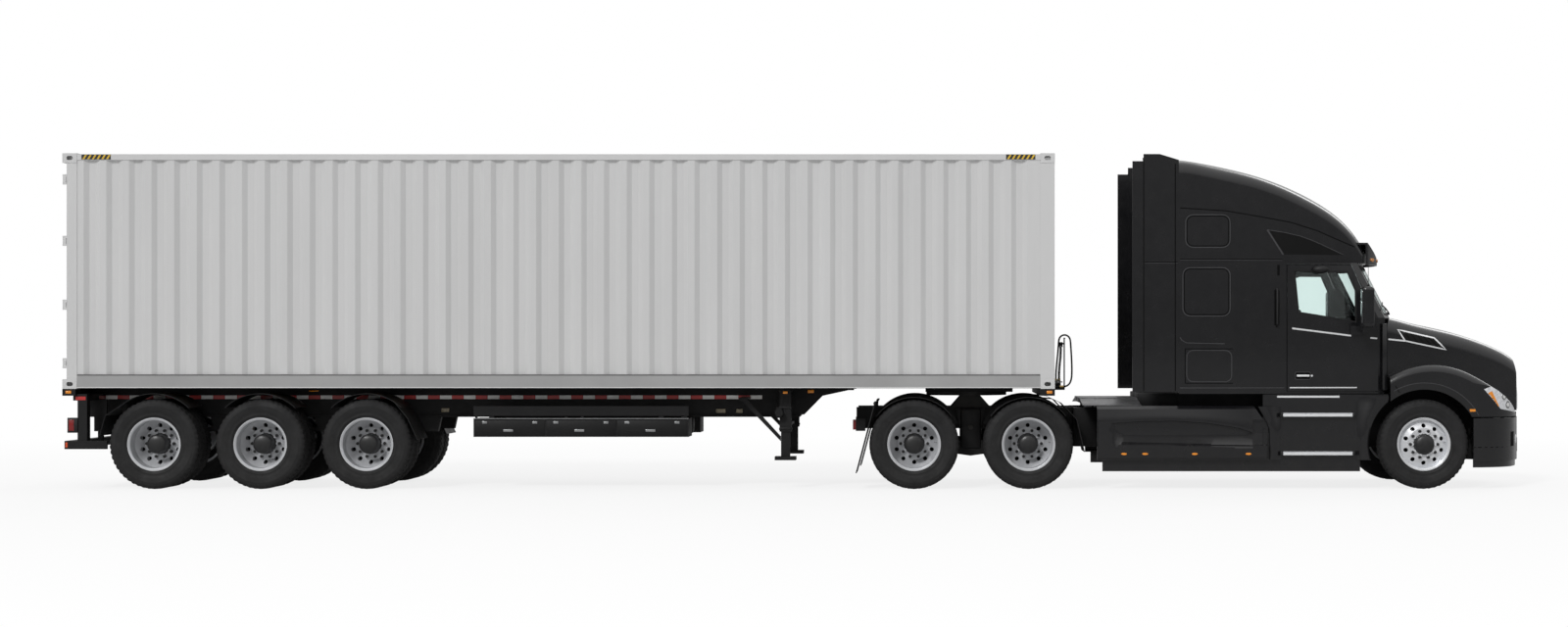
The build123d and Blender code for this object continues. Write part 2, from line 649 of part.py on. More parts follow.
# ================================================================ cab and sleeper
def cab_plan(z, shift, inset, flat_front=False):
    """The cab's plan at one height, its front corners moved back by shift and its walls in by inset."""
    rear = x_at(SLEEPER_REAR + inset)
    corner = SCREEN_CORNER - shift - inset
    half = SCREEN_CORNER_HALF - inset
    right = [
        (rear, -SLEEPER_HALF + inset),
        (x_at(SLEEPER_FRONT), -SLEEPER_HALF + inset),
        (x_at(DOOR_REAR), -DOOR_REAR_HALF + inset),
        (x_at(DOOR_FRONT - shift), -DOOR_FRONT_HALF + inset),
        (x_at(corner), -half),
    ]
    left = [(x, -y) for x, y in reversed(right)]
    sides_right = Polyline(*[(x, y, z) for x, y in right])
    sides_left = Polyline(*[(x, y, z) for x, y in left])
    if flat_front:
        front = Line((x_at(corner), -half, z), (x_at(corner), half, z))
    else:
        nose = (x_at(SCREEN_CENTRE - shift - inset), 0, z)
        front = ThreePointArc((x_at(corner), -half, z), nose, (x_at(corner), half, z))
    back = Line((rear, SLEEPER_HALF - inset, z), (rear, -SLEEPER_HALF + inset, z))
    return make_face([sides_right, front, sides_left, back])


def crowned_face(x, half, crown, fall, corner, low):
    """A front-view section whose top is crowned, dropping by fall to its rounded corners."""
    turn = half - corner
    top = crown - fall
    side = top - corner
    bend = corner * math.sqrt(0.5)

    def at(y, z):
        return (x_at(x), y, z)

    curves = [
        Line(at(-half, low), at(-half, side)),
        ThreePointArc(at(-half, side), at(-turn - bend, side + bend), at(-turn, top)),
        ThreePointArc(at(-turn, top), at(0, crown), at(turn, top)),
        ThreePointArc(at(turn, top), at(turn + bend, side + bend), at(half, side)),
        Line(at(half, side), at(half, low)),
        Line(at(half, low), at(-half, low)),
    ]
    return make_face(curves)


def roof_volume(inset):
    """The roof fairing above the windscreen's head, crowned and falling to a rounded brow."""
    sections = []
    for back, half, crown, edge in ROOF_STATIONS:
        x = FRONT_AXLE - back + (inset if back == ROOF_STATIONS[0][0] else 0)
        fall = (crown - edge) * ((half - ROOF_CORNER) / ROOF_EDGE) ** 2
        sections.append(crowned_face(x, half - inset, crown - inset, fall, ROOF_CORNER, ROOF_FOOT))
    head = (BROW - BELT) * RAKE - BROW_LEDGE + inset
    corner, centre = x_at(SCREEN_CORNER - head), x_at(SCREEN_CENTRE - head)
    rear = x_at(SLEEPER_REAR - BEYOND)
    curves = [
        Line((rear, -HALF_WIDTH, BROW), (corner, -HALF_WIDTH, BROW)),
        Line((corner, -HALF_WIDTH, BROW), (corner, -SCREEN_CORNER_HALF, BROW)),
        ThreePointArc((corner, -SCREEN_CORNER_HALF, BROW), (centre, 0, BROW),
                      (corner, SCREEN_CORNER_HALF, BROW)),
        Line((corner, SCREEN_CORNER_HALF, BROW), (corner, HALF_WIDTH, BROW)),
        Line((corner, HALF_WIDTH, BROW), (rear, HALF_WIDTH, BROW)),
        Line((rear, HALF_WIDTH, BROW), (rear, -HALF_WIDTH, BROW)),
    ]
    plan = extrude(make_face(curves), amount=EXTENDER_TOP - BROW + 200, dir=(0, 0, 1))
    return common(loft(sections), plan)


def cab_volume(inset):
    """The whole cab and sleeper as one solid, with its walls moved in by inset."""
    foot = CAB_FLOOR + inset
    lower = extrude(cab_plan(foot, 0, inset, True), amount=BELT - COWL_DEPTH - foot, dir=(0, 0, 1))
    cowl = extrude(cab_plan(BELT - COWL_DEPTH, 0, inset), amount=COWL_DEPTH, dir=(0, 0, 1))
    rise = BROW - BELT
    screen = loft([cab_plan(BELT, 0, inset), cab_plan(BROW, rise * RAKE, inset)], ruled=True)
    return fused([lower, cowl, screen, roof_volume(inset)])


def above_seam():
    """Everything above the line where the roof cap meets the cab."""
    points = [(FRONT_AXLE - back, z) for back, z in ROOF_SEAM]
    high = EXTENDER_TOP + 200
    points += [(points[-1][0], high), (points[0][0], high)]
    return side_plate(points, -HALF_WIDTH - BEYOND, HALF_WIDTH + BEYOND)


PILLAR_HEAD = FRONT_AXLE - 866
DOOR_OUTLINE = ((DOOR_REAR, DOOR_BOTTOM), (DOOR_REAR, DOOR_TOP), (PILLAR_HEAD, DOOR_TOP),
                (PILLAR_HEAD + 160, DOOR_TOP - 370), (DOOR_FRONT, PILLAR_FOOT), (DOOR_FRONT, DOOR_BOTTOM))
WINDOW_OUTLINE = ((DOOR_REAR + WINDOW_FRAME, DOOR_TOP - 80), (PILLAR_HEAD - 55, DOOR_TOP - 90),
                  (PILLAR_HEAD + 48, DOOR_TOP - 321), (PILLAR_HEAD + 48, BELT - 51),
                  (DOOR_REAR + WINDOW_FRAME + 52, BELT + 64))
LUGGAGE_OUTLINE = ((LUGGAGE_REAR, LUGGAGE_BOTTOM), (LUGGAGE_REAR, LUGGAGE_TOP),
                   (LUGGAGE_FRONT, LUGGAGE_TOP), (LUGGAGE_FRONT, LUGGAGE_BOTTOM))


def hinged_outline(points, hinge):
    """A lid's outline whose edge at the distance hinge will stay close to its opening's edge."""
    return [(x + SHUT_GAP - HINGE_GAP if x == hinge else x, z) for x, z in points]


def outline_plate(points, gap, y0, y1):
    """A side-view outline moved in by gap, filled between two planes of Y."""
    face = make_face(Polyline(*[(x_at(x), z) for x, z in points], close=True))
    if gap:
        face = offset(face, amount=-gap, kind=Kind.INTERSECTION)
    upright = Plane(origin=(0, y1, 0), x_dir=(1, 0, 0), z_dir=(0, -1, 0))
    return extrude(upright * face.face(), amount=y1 - y0)


def visor():
    """The sun visor, a bent sheet ahead of the windscreen's head."""
    head = SCREEN_CENTRE - (BROW - BELT) * RAKE
    tip = head + VISOR_REACH
    rear, corner = head - 307, head - 47
    side = side_plate([(rear, BROW - 15), (rear, BROW + 255), (corner, BROW + 255), (tip, BROW + 25),
                       (tip, BROW - 15)], -VISOR_HALF, VISOR_HALF)
    plan = make_face([
        Line((x_at(rear), -VISOR_HALF, BROW - 100), (x_at(corner), -VISOR_HALF, BROW - 100)),
        ThreePointArc((x_at(corner), -VISOR_HALF, BROW - 100), (x_at(tip), 0, BROW - 100),
                      (x_at(corner), VISOR_HALF, BROW - 100)),
        Line((x_at(corner), VISOR_HALF, BROW - 100), (x_at(rear), VISOR_HALF, BROW - 100)),
        Line((x_at(rear), VISOR_HALF, BROW - 100), (x_at(rear), -VISOR_HALF, BROW - 100)),
    ])
    body = common(side, extrude(plan, amount=500, dir=(0, 0, 1)))
    return cut(body, Pos(-VISOR_SKIN, 0, -VISOR_SKIN) * body)


def save_cab():
    """Cab shell, roof cap with its visor, windscreen, doors and luggage doors."""
    shell = cut(fused([cab_volume(0), visor()]), cab_volume(CAB_WALL))
    outside, inside = -HALF_WIDTH - BEYOND, -DOOR_FRONT_HALF + 3 * CAB_WALL
    sill_depth = CAB_WALL + 2
    foot = CAB_FLOOR - 1
    sill = extrude(cab_plan(foot, 0, CAB_WALL, True), amount=sill_depth, dir=(0, 0, 1))
    sill_gap = extrude(cab_plan(foot, 0, CAB_WALL + SHUT_GAP, True), amount=sill_depth, dir=(0, 0, 1))
    door_cut = cut(outline_plate(DOOR_OUTLINE, 0, outside, inside), sill_gap)
    luggage_cut = outline_plate(LUGGAGE_OUTLINE, 0, outside, inside)
    window = outline_plate(WINDOW_OUTLINE, 0, outside, inside)
    leaf = outline_plate(hinged_outline(DOOR_OUTLINE, DOOR_FRONT), SHUT_GAP, outside, inside)
    door = cut(common(shell, leaf), sill)
    pane = common(door, outline_plate(WINDOW_OUTLINE, TOUCH_GAP, outside, inside))
    door = cut(door, window)
    lid = outline_plate(hinged_outline(LUGGAGE_OUTLINE, LUGGAGE_FRONT), SHUT_GAP, outside, inside)
    luggage_door = common(shell, lid)
    half = SCREEN_CORNER_HALF - SCREEN_FRAME
    low, high = BELT + 45, BROW - 60
    rear, front = SCREEN_CORNER - 590, SCREEN_CENTRE + 114
    screen_hole = block(rear, front, -half, half, low, high)
    pane_zone = block(rear, front, -half + TOUCH_GAP, half - TOUCH_GAP, low + TOUCH_GAP, high - TOUCH_GAP)
    glazing = cut(common(shell, pane_zone), cab_volume(3 * GLASS_THICKNESS))
    shell = cut(shell, door_cut, left_of(door_cut), luggage_cut, left_of(luggage_cut), screen_hole)
    cap = above_seam()
    keep("roof_cap", common(shell, cap))
    keep("cab_shell", cut(shell, cap))
    keep("windshield", glazing)
    mirror_unit = mirror_r()
    keep("door_r", door, mirror_unit)
    keep("door_l", left_of(door), left_of(mirror_unit))
    keep("door_glass_r", pane)
    keep("door_glass_l", left_of(pane))
    keep("luggage_door_r", luggage_door)
    keep("luggage_door_l", left_of(luggage_door))


def mirror_r():
    """The right mirror on its arm, which stands on the door."""
    rear = DOOR_FRONT - 264
    head = block(rear, rear + 150, -1440, -1230, BELT - 121, BELT + 379)
    head = fillet(head.edges(), radius=45)
    arm = block(rear + 25, rear + 95, -1300, -1050, BELT - 181, BELT - 101)
    foot = block(rear - 85, rear + 125, -1075, -1045, BELT - 211, BELT - 101)
    return fused([head, arm, foot])


def cab_interior():
    """Seats, bunk, dashboard and steering wheel."""
    floor = CAB_FLOOR + CAB_WALL
    pieces = []
    seat = DOOR_REAR + 198
    for side in (-1, 1):
        y = side * 520
        base = block(seat + 100, seat + 450, y - 180, y + 180, floor, floor + 330)
        cushion = block(seat, seat + 530, y - 250, y + 250, floor + 330, floor + 450)
        back = side_plate([(seat, floor + 450), (seat + 140, floor + 450), (seat + 20, floor + 1150),
                           (seat - 100, floor + 1150)], y - 240, y + 240)
        pieces.append(fused([base, cushion, back]))
    pieces.append(block(SLEEPER_REAR + 84, SLEEPER_REAR + 934, -1050, 1050, floor, floor + 560))
    firewall = SCREEN_CORNER - CAB_WALL - TOUCH_GAP
    dash = side_plate([(firewall, floor + 200), (firewall, floor + 790), (firewall - 275, floor + 730),
                       (firewall - 275, floor + 560), (firewall - 155, floor + 200)], -880, 880)
    tilt = Rot(0, -55, 0)
    wheel = firewall - 425
    rim = Pos(x_at(wheel), 520, floor + 720) * tilt * Torus(215, 16)
    spoke = Pos(x_at(wheel), 520, floor + 720) * tilt * Box(40, 400, 20)
    column = Pos(x_at(wheel + 90), 520, floor + 660) * tilt * Cylinder(30, 220)
    pieces.append(fused([dash, rim, spoke, column]))
    return pieces


# ================================================================ hood, grille and lamps
def nose_plan(z, inset):
    """The hood's and the bumper's plan, rounded towards the nose."""
    rear = x_at(HOOD_REAR - 400)
    turn = x_at(BUMPER_REAR - 8)
    quarter = x_at(NOSE - 405 - inset)
    shoulder = x_at(NOSE - 175 - inset)
    nose = x_at(NOSE - 5 - inset)
    half = FENDER_HALF - inset
    curves = [
        Line((rear, -half, z), (turn, -half, z)),
        ThreePointArc((turn, -half, z), (quarter, -half + 120, z), (shoulder, -half + 400, z)),
        ThreePointArc((shoulder, -half + 400, z), (nose, 0, z), (shoulder, half - 400, z)),
        ThreePointArc((shoulder, half - 400, z), (quarter, half - 120, z), (turn, half, z)),
        Line((turn, half, z), (rear, half, z)),
        Line((rear, half, z), (rear, -half, z)),
    ]
    return make_face(curves)


def fender_volume(inset, low, rear):
    """Both front fenders as one bar across the truck, with rounded shoulders."""
    half = FENDER_HALF - inset

    def at(ahead, z):
        return (x_at(FRONT_AXLE + ahead), -half, z - inset)

    crest = ThreePointArc(at(-418, 1395), at(80, 1532), at(560, 1425))
    brow = TangentArc(at(560, 1425), at(1150 - inset, 1040), tangent=crest % 1)
    tip = (x_at(FRONT_AXLE + 1264 - inset), -half, low)
    curves = [
        crest,
        brow,
        Line(at(1150 - inset, 1040), tip),
        Line(tip, (x_at(rear), -half, low)),
        Line((x_at(rear), -half, low), (x_at(rear), -half, 1395 - inset)),
    ]
    if rear < HOOD_REAR:
        curves.append(Line((x_at(rear), -half, 1395 - inset), at(-418, 1395)))
    bar = extrude(make_face(curves), amount=2 * half, dir=(0, 1, 0))
    shoulders = [edge for edge in bar.edges() if edge.geom_type == GeomType.CIRCLE]
    return fillet(shoulders, radius=FENDER_ROUNDING - inset)


def hood_volume(inset):
    """The hood's centre and its two fenders as one solid, skins moved in by inset."""
    low = HOOD_BOTTOM - (10 if inset else 0)
    rear = HOOD_REAR - (10 if inset else 0)
    sections = []
    for ahead, half, rise in HOOD_STATIONS:
        x = rear if ahead == HOOD_STATIONS[0][0] else FRONT_AXLE + ahead
        sections.append(crowned_face(x, half - inset, BELT + rise - inset, HOOD_FALL, HOOD_CORNER, low))
    limit = side_plate([(rear, low), (rear, BELT + 200), (NOSE - 225 - inset, BELT + 200),
                        (NOSE - 225 - inset, BELT - 411 - inset), (NOSE - 120 - inset, BELT - 511 - inset),
                        (NOSE - 27 - inset, 960), (NOSE - 20 - inset, low)], -HALF_WIDTH, HALF_WIDTH)
    centre = common(loft(sections), limit)
    plan = extrude(nose_plan(low, inset + SIDE_TRIM), amount=BELT, dir=(0, 0, 1))
    return common(fused([centre, fender_volume(inset, low, rear)]), plan)


def save_hood():
    """Hood shell with open wheel arches, the barred grille and the headlamps."""
    outside = HALF_WIDTH + BEYOND
    arch = fused(mirrored(rod_y(FRONT_AXLE, TYRE_RADIUS, ARCH_RADIUS, -outside, -SUBFRAME_HALF)))
    skin = cut(hood_volume(0), hood_volume(HOOD_SKIN))
    screen_clear = extrude(cab_plan(BELT - COWL_DEPTH - 50, 0, -25), amount=COWL_DEPTH + 250, dir=(0, 0, 1))
    opening = block(NOSE - 405, NOSE + BEYOND, -GRILLE_HALF, GRILLE_HALF, GRILLE_BOTTOM, GRILLE_TOP)
    nose_cut = block(NOSE_CUT, NOSE + BEYOND, -outside, outside, HOOD_BOTTOM - 90, NOSE_BOTTOM)
    shell = cut(skin, arch, screen_clear, opening, nose_cut)
    panel = common(skin, block(NOSE - 405, NOSE + BEYOND, -GRILLE_HALF + TOUCH_GAP, GRILLE_HALF - TOUCH_GAP,
                               GRILLE_BOTTOM + TOUCH_GAP, GRILLE_TOP - TOUCH_GAP))
    pitch = (GRILLE_TOP - GRILLE_BOTTOM - 2 * GRILLE_FRAME + GRILLE_BAR) / GRILLE_BARS
    slots = []
    for z in places(GRILLE_BOTTOM + GRILLE_FRAME, GRILLE_TOP - GRILLE_FRAME, pitch):
        slots += mirrored(block(NOSE - 405, NOSE + BEYOND, -GRILLE_HALF + GRILLE_FRAME, -GRILLE_BAR,
                                z, z + pitch - GRILLE_BAR))
    lamp_zone = side_plate([(FRONT_AXLE + x, z) for x, z in LAMP_OUTLINE], -outside, -LAMP_INNER)
    lamp = common(skin, lamp_zone)
    shell = cut(shell, lamp_zone, left_of(lamp_zone))
    arm = fused([block(HINGE_PLACE - 18, HINGE_PLACE + 16, -HINGE_HALF + 2, -HINGE_HALF + HINGE_LUG,
                       HINGE_HEIGHT - 14, NOSE_BOTTOM + 40),
                 rod_y(HINGE_PLACE, HINGE_HEIGHT, HINGE_PIN, -HINGE_HALF - 30, -HINGE_HALF + HINGE_LUG)])
    keep("hood_shell", fused([shell] + mirrored(arm)))
    keep("grille", cut(panel, *slots))
    keep("headlamps", *mirrored(lamp))


def ring_of(z, inset, thickness, height):
    """A wrap-round sheet that follows the nose's plan, from height z upward."""
    outer = extrude(nose_plan(z, inset), amount=height, dir=(0, 0, 1))
    inner = extrude(nose_plan(z - 1, inset + thickness), amount=height + 2, dir=(0, 0, 1))
    return cut(outer, inner)


def bumper():
    """The bumper's wrap-round skin with its lower lip, hinge lugs and brackets to the frame."""
    height = BUMPER_TOP - BUMPER_BOTTOM
    skin = fused([ring_of(BUMPER_BOTTOM, 0, BUMPER_SKIN, height),
                  ring_of(LIP_BOTTOM, LIP_INSET, LIP_SKIN, BUMPER_BOTTOM - LIP_BOTTOM + 40)])
    skin = cut(skin, block(HOOD_REAR - 1000, BUMPER_REAR, -HALF_WIDTH, HALF_WIDTH, 0, BELT))
    brackets = mirrored(block(RAIL_FRONT, NOSE - 70, -RAIL_OUTER, -RAIL_OUTER + 60, 560, BUMPER_TOP - 13))
    core = extrude(nose_plan(BUMPER_BOTTOM, 2), amount=height, dir=(0, 0, 1))
    lug = block(HINGE_PLACE - 20, HINGE_PLACE + 30, -HINGE_HALF - HINGE_LUG, -HINGE_HALF,
                BUMPER_TOP - 60, HINGE_HEIGHT + 18)
    bore = HINGE_PIN + TOUCH_GAP
    lug = cut(lug, rod_y(HINGE_PLACE, HINGE_HEIGHT, bore, -HINGE_HALF - 30, -HINGE_HALF + 2))
    return fused([skin] + [common(bracket, core) for bracket in brackets] + mirrored(lug))


# ================================================================ sides of the tractor
def side_fairings():
    """Tank fairings, step panels, rubber skirts and the sleeper's side extenders."""
    outer = -FAIRING_OUTER
    shoulder = FAIRING_FRONT - 177
    low, top = FAIRING_BOTTOM, FAIRING_TOP
    profile = [(-y, z) for y, z in FAIRING_PROFILE]
    profile += [(FAIRING_SKIN - y, z) for y, z in FAIRING_PROFILE[::-1]]
    outline = side_plate([(FAIRING_REAR, low), (FAIRING_REAR, top), (shoulder, top), (FAIRING_FRONT, 760),
                          (FAIRING_FRONT - 25, low)], outer - 1, outer + 200)
    tank = common(front_plate(profile, FAIRING_REAR, FAIRING_FRONT), outline)
    cover = block(FAIRING_REAR, shoulder, -FAIRING_PROFILE[0][0], -SUBFRAME_HALF - 5,
                  top - FAIRING_SKIN, top)
    hanger = block(FAIRING_REAR + 200, FAIRING_REAR + 260, -SUBFRAME_HALF - 40, -RAIL_OUTER, RAIL_TOP - 50,
                   top - FAIRING_SKIN + 2)
    arch = rod_y(FRONT_AXLE, TYRE_RADIUS, ARCH_RADIUS + 6, -HALF_WIDTH, -RAIL_OUTER)
    step = outer + STEP_INSET
    panel = block(FAIRING_FRONT - 60, HOOD_REAR - 18, step, step + FAIRING_SKIN, low, CAB_FLOOR - 8)
    panel = cut(panel, arch)
    link = block(FAIRING_FRONT - 60, FAIRING_FRONT - 30, outer + 20, step + 5, low, 740)
    bracket = block(STEP_REAR + 431, STEP_REAR + 531, step + 20, -RAIL_OUTER, 760, 820)
    skirt = block(FAIRING_REAR + 70, SKIRT_FRONT, step + 2, step + 2 + SKIRT_THICKNESS, SKIRT_BOTTOM, low)
    under = block(FAIRING_REAR + 70, FAIRING_FRONT, outer + 20, step + 20, low, low + 20)
    side = fused([tank, cover, hanger, panel, link, bracket, skirt, under])
    rear = SLEEPER_REAR - EXTENDER_LENGTH
    extender = side_plate([(rear, EXTENDER_BOTTOM), (rear, EXTENDER_TOP), (SLEEPER_REAR - 236, EXTENDER_TOP),
                           (SLEEPER_REAR, EXTENDER_TOP - 72), (SLEEPER_REAR, EXTENDER_BOTTOM)],
                          -SLEEPER_HALF, -SLEEPER_HALF + EXTENDER_THICKNESS)
    rubber = block(rear - EXTENDER_STRIP, rear + 5, -SLEEPER_HALF + 8, -SLEEPER_HALF + 20, EXTENDER_BOTTOM,
                   EXTENDER_TOP - 87)
    return mirrored(side) + mirrored(fused([extender, rubber]))


def steps_and_deck():
    """Two steps a side below the door, and the deck plate behind the sleeper on its feet."""
    outer = -FAIRING_OUTER + STEP_INSET
    pieces = []
    for z in STEP_HEIGHTS:
        pieces += mirrored(block(STEP_REAR, STEP_FRONT, outer - STEP_DEPTH, outer, z, z + STEP_THICKNESS))
    rear, front = SLEEPER_REAR - 1179, SLEEPER_REAR - 457
    deck = block(rear, front, -RAIL_OUTER - 60, RAIL_OUTER + 60, DECK_TOP - DECK_THICKNESS, DECK_TOP)
    feet = mirrored(block(rear + 63, rear + 163, -RAIL_OUTER, -RAIL_OUTER + 60, RAIL_TOP, DECK_TOP - 20))
    feet += mirrored(block(front - 163, front - 63, -RAIL_OUTER, -RAIL_OUTER + 60, RAIL_TOP, DECK_TOP - 20))
    return pieces + [fused([deck] + feet)]


def arch_over(x, radius, outer, inner, low):
    """An arched fender skin over a wheel, between two planes of Y and above a height."""
    arch = rod_y(x, TYRE_RADIUS, radius + FENDER_SKIN, outer, inner)
    arch = cut(arch, rod_y(x, TYRE_RADIUS, radius, outer - 1, inner + 1))
    return common(arch, block(x - radius, x + radius, outer, inner, low, 2 * radius + TYRE_RADIUS))


def drive_fenders():
    """Arched fenders over the drive wheels, a quarter fender ahead of them and mud flaps behind."""
    inner = -DUAL_INNER + TYRE_WIDTH / 2 + 10
    radius = TYRE_RADIUS + FENDER_GAP
    crown = TYRE_RADIUS + radius
    rear, front = DRIVE_AXLES
    pieces = []
    for x in DRIVE_AXLES:
        stay = [block(x - 20, x + 20, inner - 5, -RAIL_OUTER + 20, crown, crown + FENDER_SKIN),
                block(x - 20, x + 20, -RAIL_OUTER + 8, -RAIL_OUTER + 20, RAIL_TOP, crown + FENDER_SKIN)]
        arch = [arch_over(x, radius, -HALF_WIDTH, inner, crown - 226)]
        if x == front:
            line = [(x + 40, crown + FENDER_SKIN - 2), (x + 294, 1113), (x + 402, 1065), (x + 595, 861),
                    (x + 691, 460)]
            arch.append(side_plate(strip(line, FENDER_SKIN), -HALF_WIDTH, inner))
        pieces += mirrored(fused(arch + stay))
    flap = strip([(rear - 719, FLAP_BOTTOM), (rear - 490, 1059)], FLAP_THICKNESS)
    flap = side_plate(flap, -HALF_WIDTH, inner)
    bar = block(rear - 500, rear - 474, -HALF_WIDTH, -RAIL_OUTER + 40, 1045, 1065)
    foot = block(rear - 500, rear - 474, -RAIL_OUTER, -RAIL_OUTER + 40, RAIL_TOP, 1065)
    return pieces + mirrored(fused([flap, bar, foot]))


def tractor_lamps():
    """Tail lamps on the frame's end."""
    top = TAIL_LAMP_BOTTOM + TAIL_LAMP_HEIGHT
    return mirrored(block(RAIL_REAR - LAMP_DEPTH, RAIL_REAR, -700, -480, TAIL_LAMP_BOTTOM, top))


# ================================================================ trailer
def i_beam(x0, x1, middle, z0, z1, flange, wall):
    """An I-beam on the right side along X."""
    web = block(x0, x1, -middle - wall / 2, -middle + wall / 2, z0, z1)
    low = block(x0, x1, -middle - flange / 2, -middle + flange / 2, z0, z0 + wall * 1.6)
    top = block(x0, x1, -middle - flange / 2, -middle + flange / 2, z1 - wall * 1.6, z1)
    return fused([web, low, top])


def gooseneck():
    """The neck's beams on their side plates, with the coupler plate and its kingpin."""
    half = TUNNEL_HALF - 75
    top = NECK_BOTTOM + NECK_DEPTH
    rear = BEAM_FRONT - 60
    lap = BEAM_FRONT + 674
    seat = NECK_BOTTOM - 23
    pieces = mirrored(side_plate([(rear, BEAM_BOTTOM), (BEAM_FRONT, BEAM_BOTTOM), (BEAM_FRONT + 252, 1128),
                                  (BEAM_FRONT + 609, seat), (lap, seat), (lap, NECK_BOTTOM + 2),
                                  (rear, NECK_BOTTOM + 2)], -BEAM_HALF - 10, -BEAM_HALF + 10))
    pieces += mirrored(block(rear, lap, -BEAM_HALF - 10, -half + 20, seat, NECK_BOTTOM + 2))
    pieces += mirrored(i_beam(rear, NECK_FRONT, half, NECK_BOTTOM, top, NECK_FLANGE, BEAM_WALL))
    pieces.append(block(COUPLING - 570, COUPLING + 526, -half - 55, half + 55,
                        FIFTH_WHEEL_TOP, NECK_BOTTOM + 2))
    pieces.append(rod_z(COUPLING, 0, KINGPIN_RADIUS, FIFTH_WHEEL_TOP - 75, NECK_BOTTOM))
    for x in (COUPLING - 1571, COUPLING - 771, COUPLING + 629):
        pieces.append(block(x, x + 80, -half, half, NECK_BOTTOM + 16, top - 16))
    return pieces


def rear_end():
    """The rear bolster with the legs and the bumper bar that hang from it."""
    low = CONTAINER_BASE - BOLSTER_DEPTH
    outer = -HALF_WIDTH + 20
    bar_top = REAR_BAR_BOTTOM + REAR_BAR_DEPTH
    pieces = [block(0, BOLSTER_LENGTH - 20, -HALF_WIDTH, HALF_WIDTH, low, CONTAINER_BASE),
              block(20, 130, outer, -outer, REAR_BAR_BOTTOM, bar_top)]
    pieces += mirrored(block(REAR_LEG_REAR, REAR_LEG_FRONT, -1180, -1060, REAR_BAR_BOTTOM + 42, low + 20))
    pieces += mirrored(block(120, REAR_LEG_REAR + 2, -1180, -1060, low - 60, low + 20))
    pieces += mirrored(block(REAR_LEG_REAR, REAR_LEG_FRONT, -1180, -BEAM_HALF, low - 60, low + 20))
    pieces += mirrored(block(20, REAR_BAR_FRONT, outer, outer + 40, REAR_BAR_BOTTOM, bar_top))
    return pieces


def chassis_frame():
    """Main beams, gooseneck, bolsters, crossmembers, side boxes, rear bumper and hose stand."""
    pieces = mirrored(i_beam(BEAM_REAR, BEAM_FRONT, BEAM_HALF, BEAM_BOTTOM, BEAM_TOP,
                             BEAM_FLANGE, BEAM_WALL))
    pieces += gooseneck() + rear_end()
    for index in range(BEAM_TIES):
        x = BEAM_REAR + index * (BEAM_FRONT - BEAM_REAR - 80) / (BEAM_TIES - 1)
        pieces.append(block(x, x + 80, -BEAM_HALF, BEAM_HALF, 1000, 1180))
    pieces.append(block(CONTAINER_LENGTH - BOLSTER_LENGTH, CONTAINER_LENGTH, -HALF_WIDTH, HALF_WIDTH,
                        CONTAINER_BASE - BOLSTER_DEPTH, CONTAINER_BASE))
    pieces += mirrored(block(BOX_REAR, BOX_FRONT, -1000, -BEAM_HALF - 40, BOX_BOTTOM, BOX_TOP))
    pieces += mirrored(block(BOX_REAR, BOX_FRONT, -1000, -985, BOX_TOP + 35, BOX_TOP + 155))
    for x in (BOX_REAR + 190, BOX_FRONT - 370):
        pieces += mirrored(block(x, x + 60, -990, -BEAM_HALF, BOX_TOP - 2, BOX_TOP + 98))
    return fused(pieces + hose_stand())


def trailer_axles():
    """Three axles on their leaf springs and hangers."""
    pieces = []
    for x in TRAILER_AXLES:
        pieces.append(rod_y(x, TYRE_RADIUS, 64, -AXLE_END, AXLE_END))
        pieces += mirrored(rod_y(x, TYRE_RADIUS, SPINDLE_RADIUS, -DUAL_OUTER + 45, -AXLE_END))
        spring = side_plate([(x - SPRING_HALF, 700), (x - 120, 640), (x + 120, 640), (x + SPRING_HALF, 700),
                             (x + SPRING_HALF, 740), (x + 120, 700), (x - 120, 700), (x - SPRING_HALF, 740)],
                            -BEAM_HALF - 38, -BEAM_HALF + 38)
        seat = block(x - 90, x + 90, -BEAM_HALF - 50, -BEAM_HALF + 50, TYRE_RADIUS, 700)
        pieces += mirrored(spring) + mirrored(seat)
    for index in range(len(TRAILER_AXLES) + 1):
        x = TRAILER_AXLE_REAR + (index - 0.5) * TRAILER_AXLE_SPREAD
        pieces += mirrored(side_plate([(x - 140, BEAM_BOTTOM), (x + 140, BEAM_BOTTOM), (x + 100, 690),
                                       (x - 100, 690)], -BEAM_HALF - 45, -BEAM_HALF + 45))
    return fused(pieces)


def landing_gear():
    """Two legs with feet, braced to the chassis and joined by a cross shaft."""
    leg = LANDING_GEAR
    web = BEAM_HALF + BEAM_WALL / 2
    side = [
        block(leg - LEG_WIDTH / 2, leg + LEG_WIDTH / 2, -LEG_HALF - 65, -LEG_HALF + 65,
              700, CONTAINER_BASE - 20),
        block(leg - 55, leg + 55, -LEG_HALF - 50, -LEG_HALF + 50, FOOT_BOTTOM + 42, 701),
        block(leg - 130, leg + 130, -LEG_HALF - 110, -LEG_HALF + 110, FOOT_BOTTOM, FOOT_BOTTOM + 43),
        block(leg - 60, leg + 60, -LEG_HALF, -web, 1020, 1120),
        block(leg - 110, leg - 40, -LEG_HALF - 110, -LEG_HALF, 870, 1000),
        side_plate([(leg - 560, 1100), (leg - 480, 1100), (leg - 60, 640), (leg - 60, 580)],
                   -LEG_HALF - 15, -LEG_HALF + 15),
        block(leg - 580, leg - 470, -LEG_HALF - 15, -web, 1080, 1120),
    ]
    return fused([rod_y(leg, 760, 18, -LEG_HALF, LEG_HALF)] + mirrored(fused(side)))


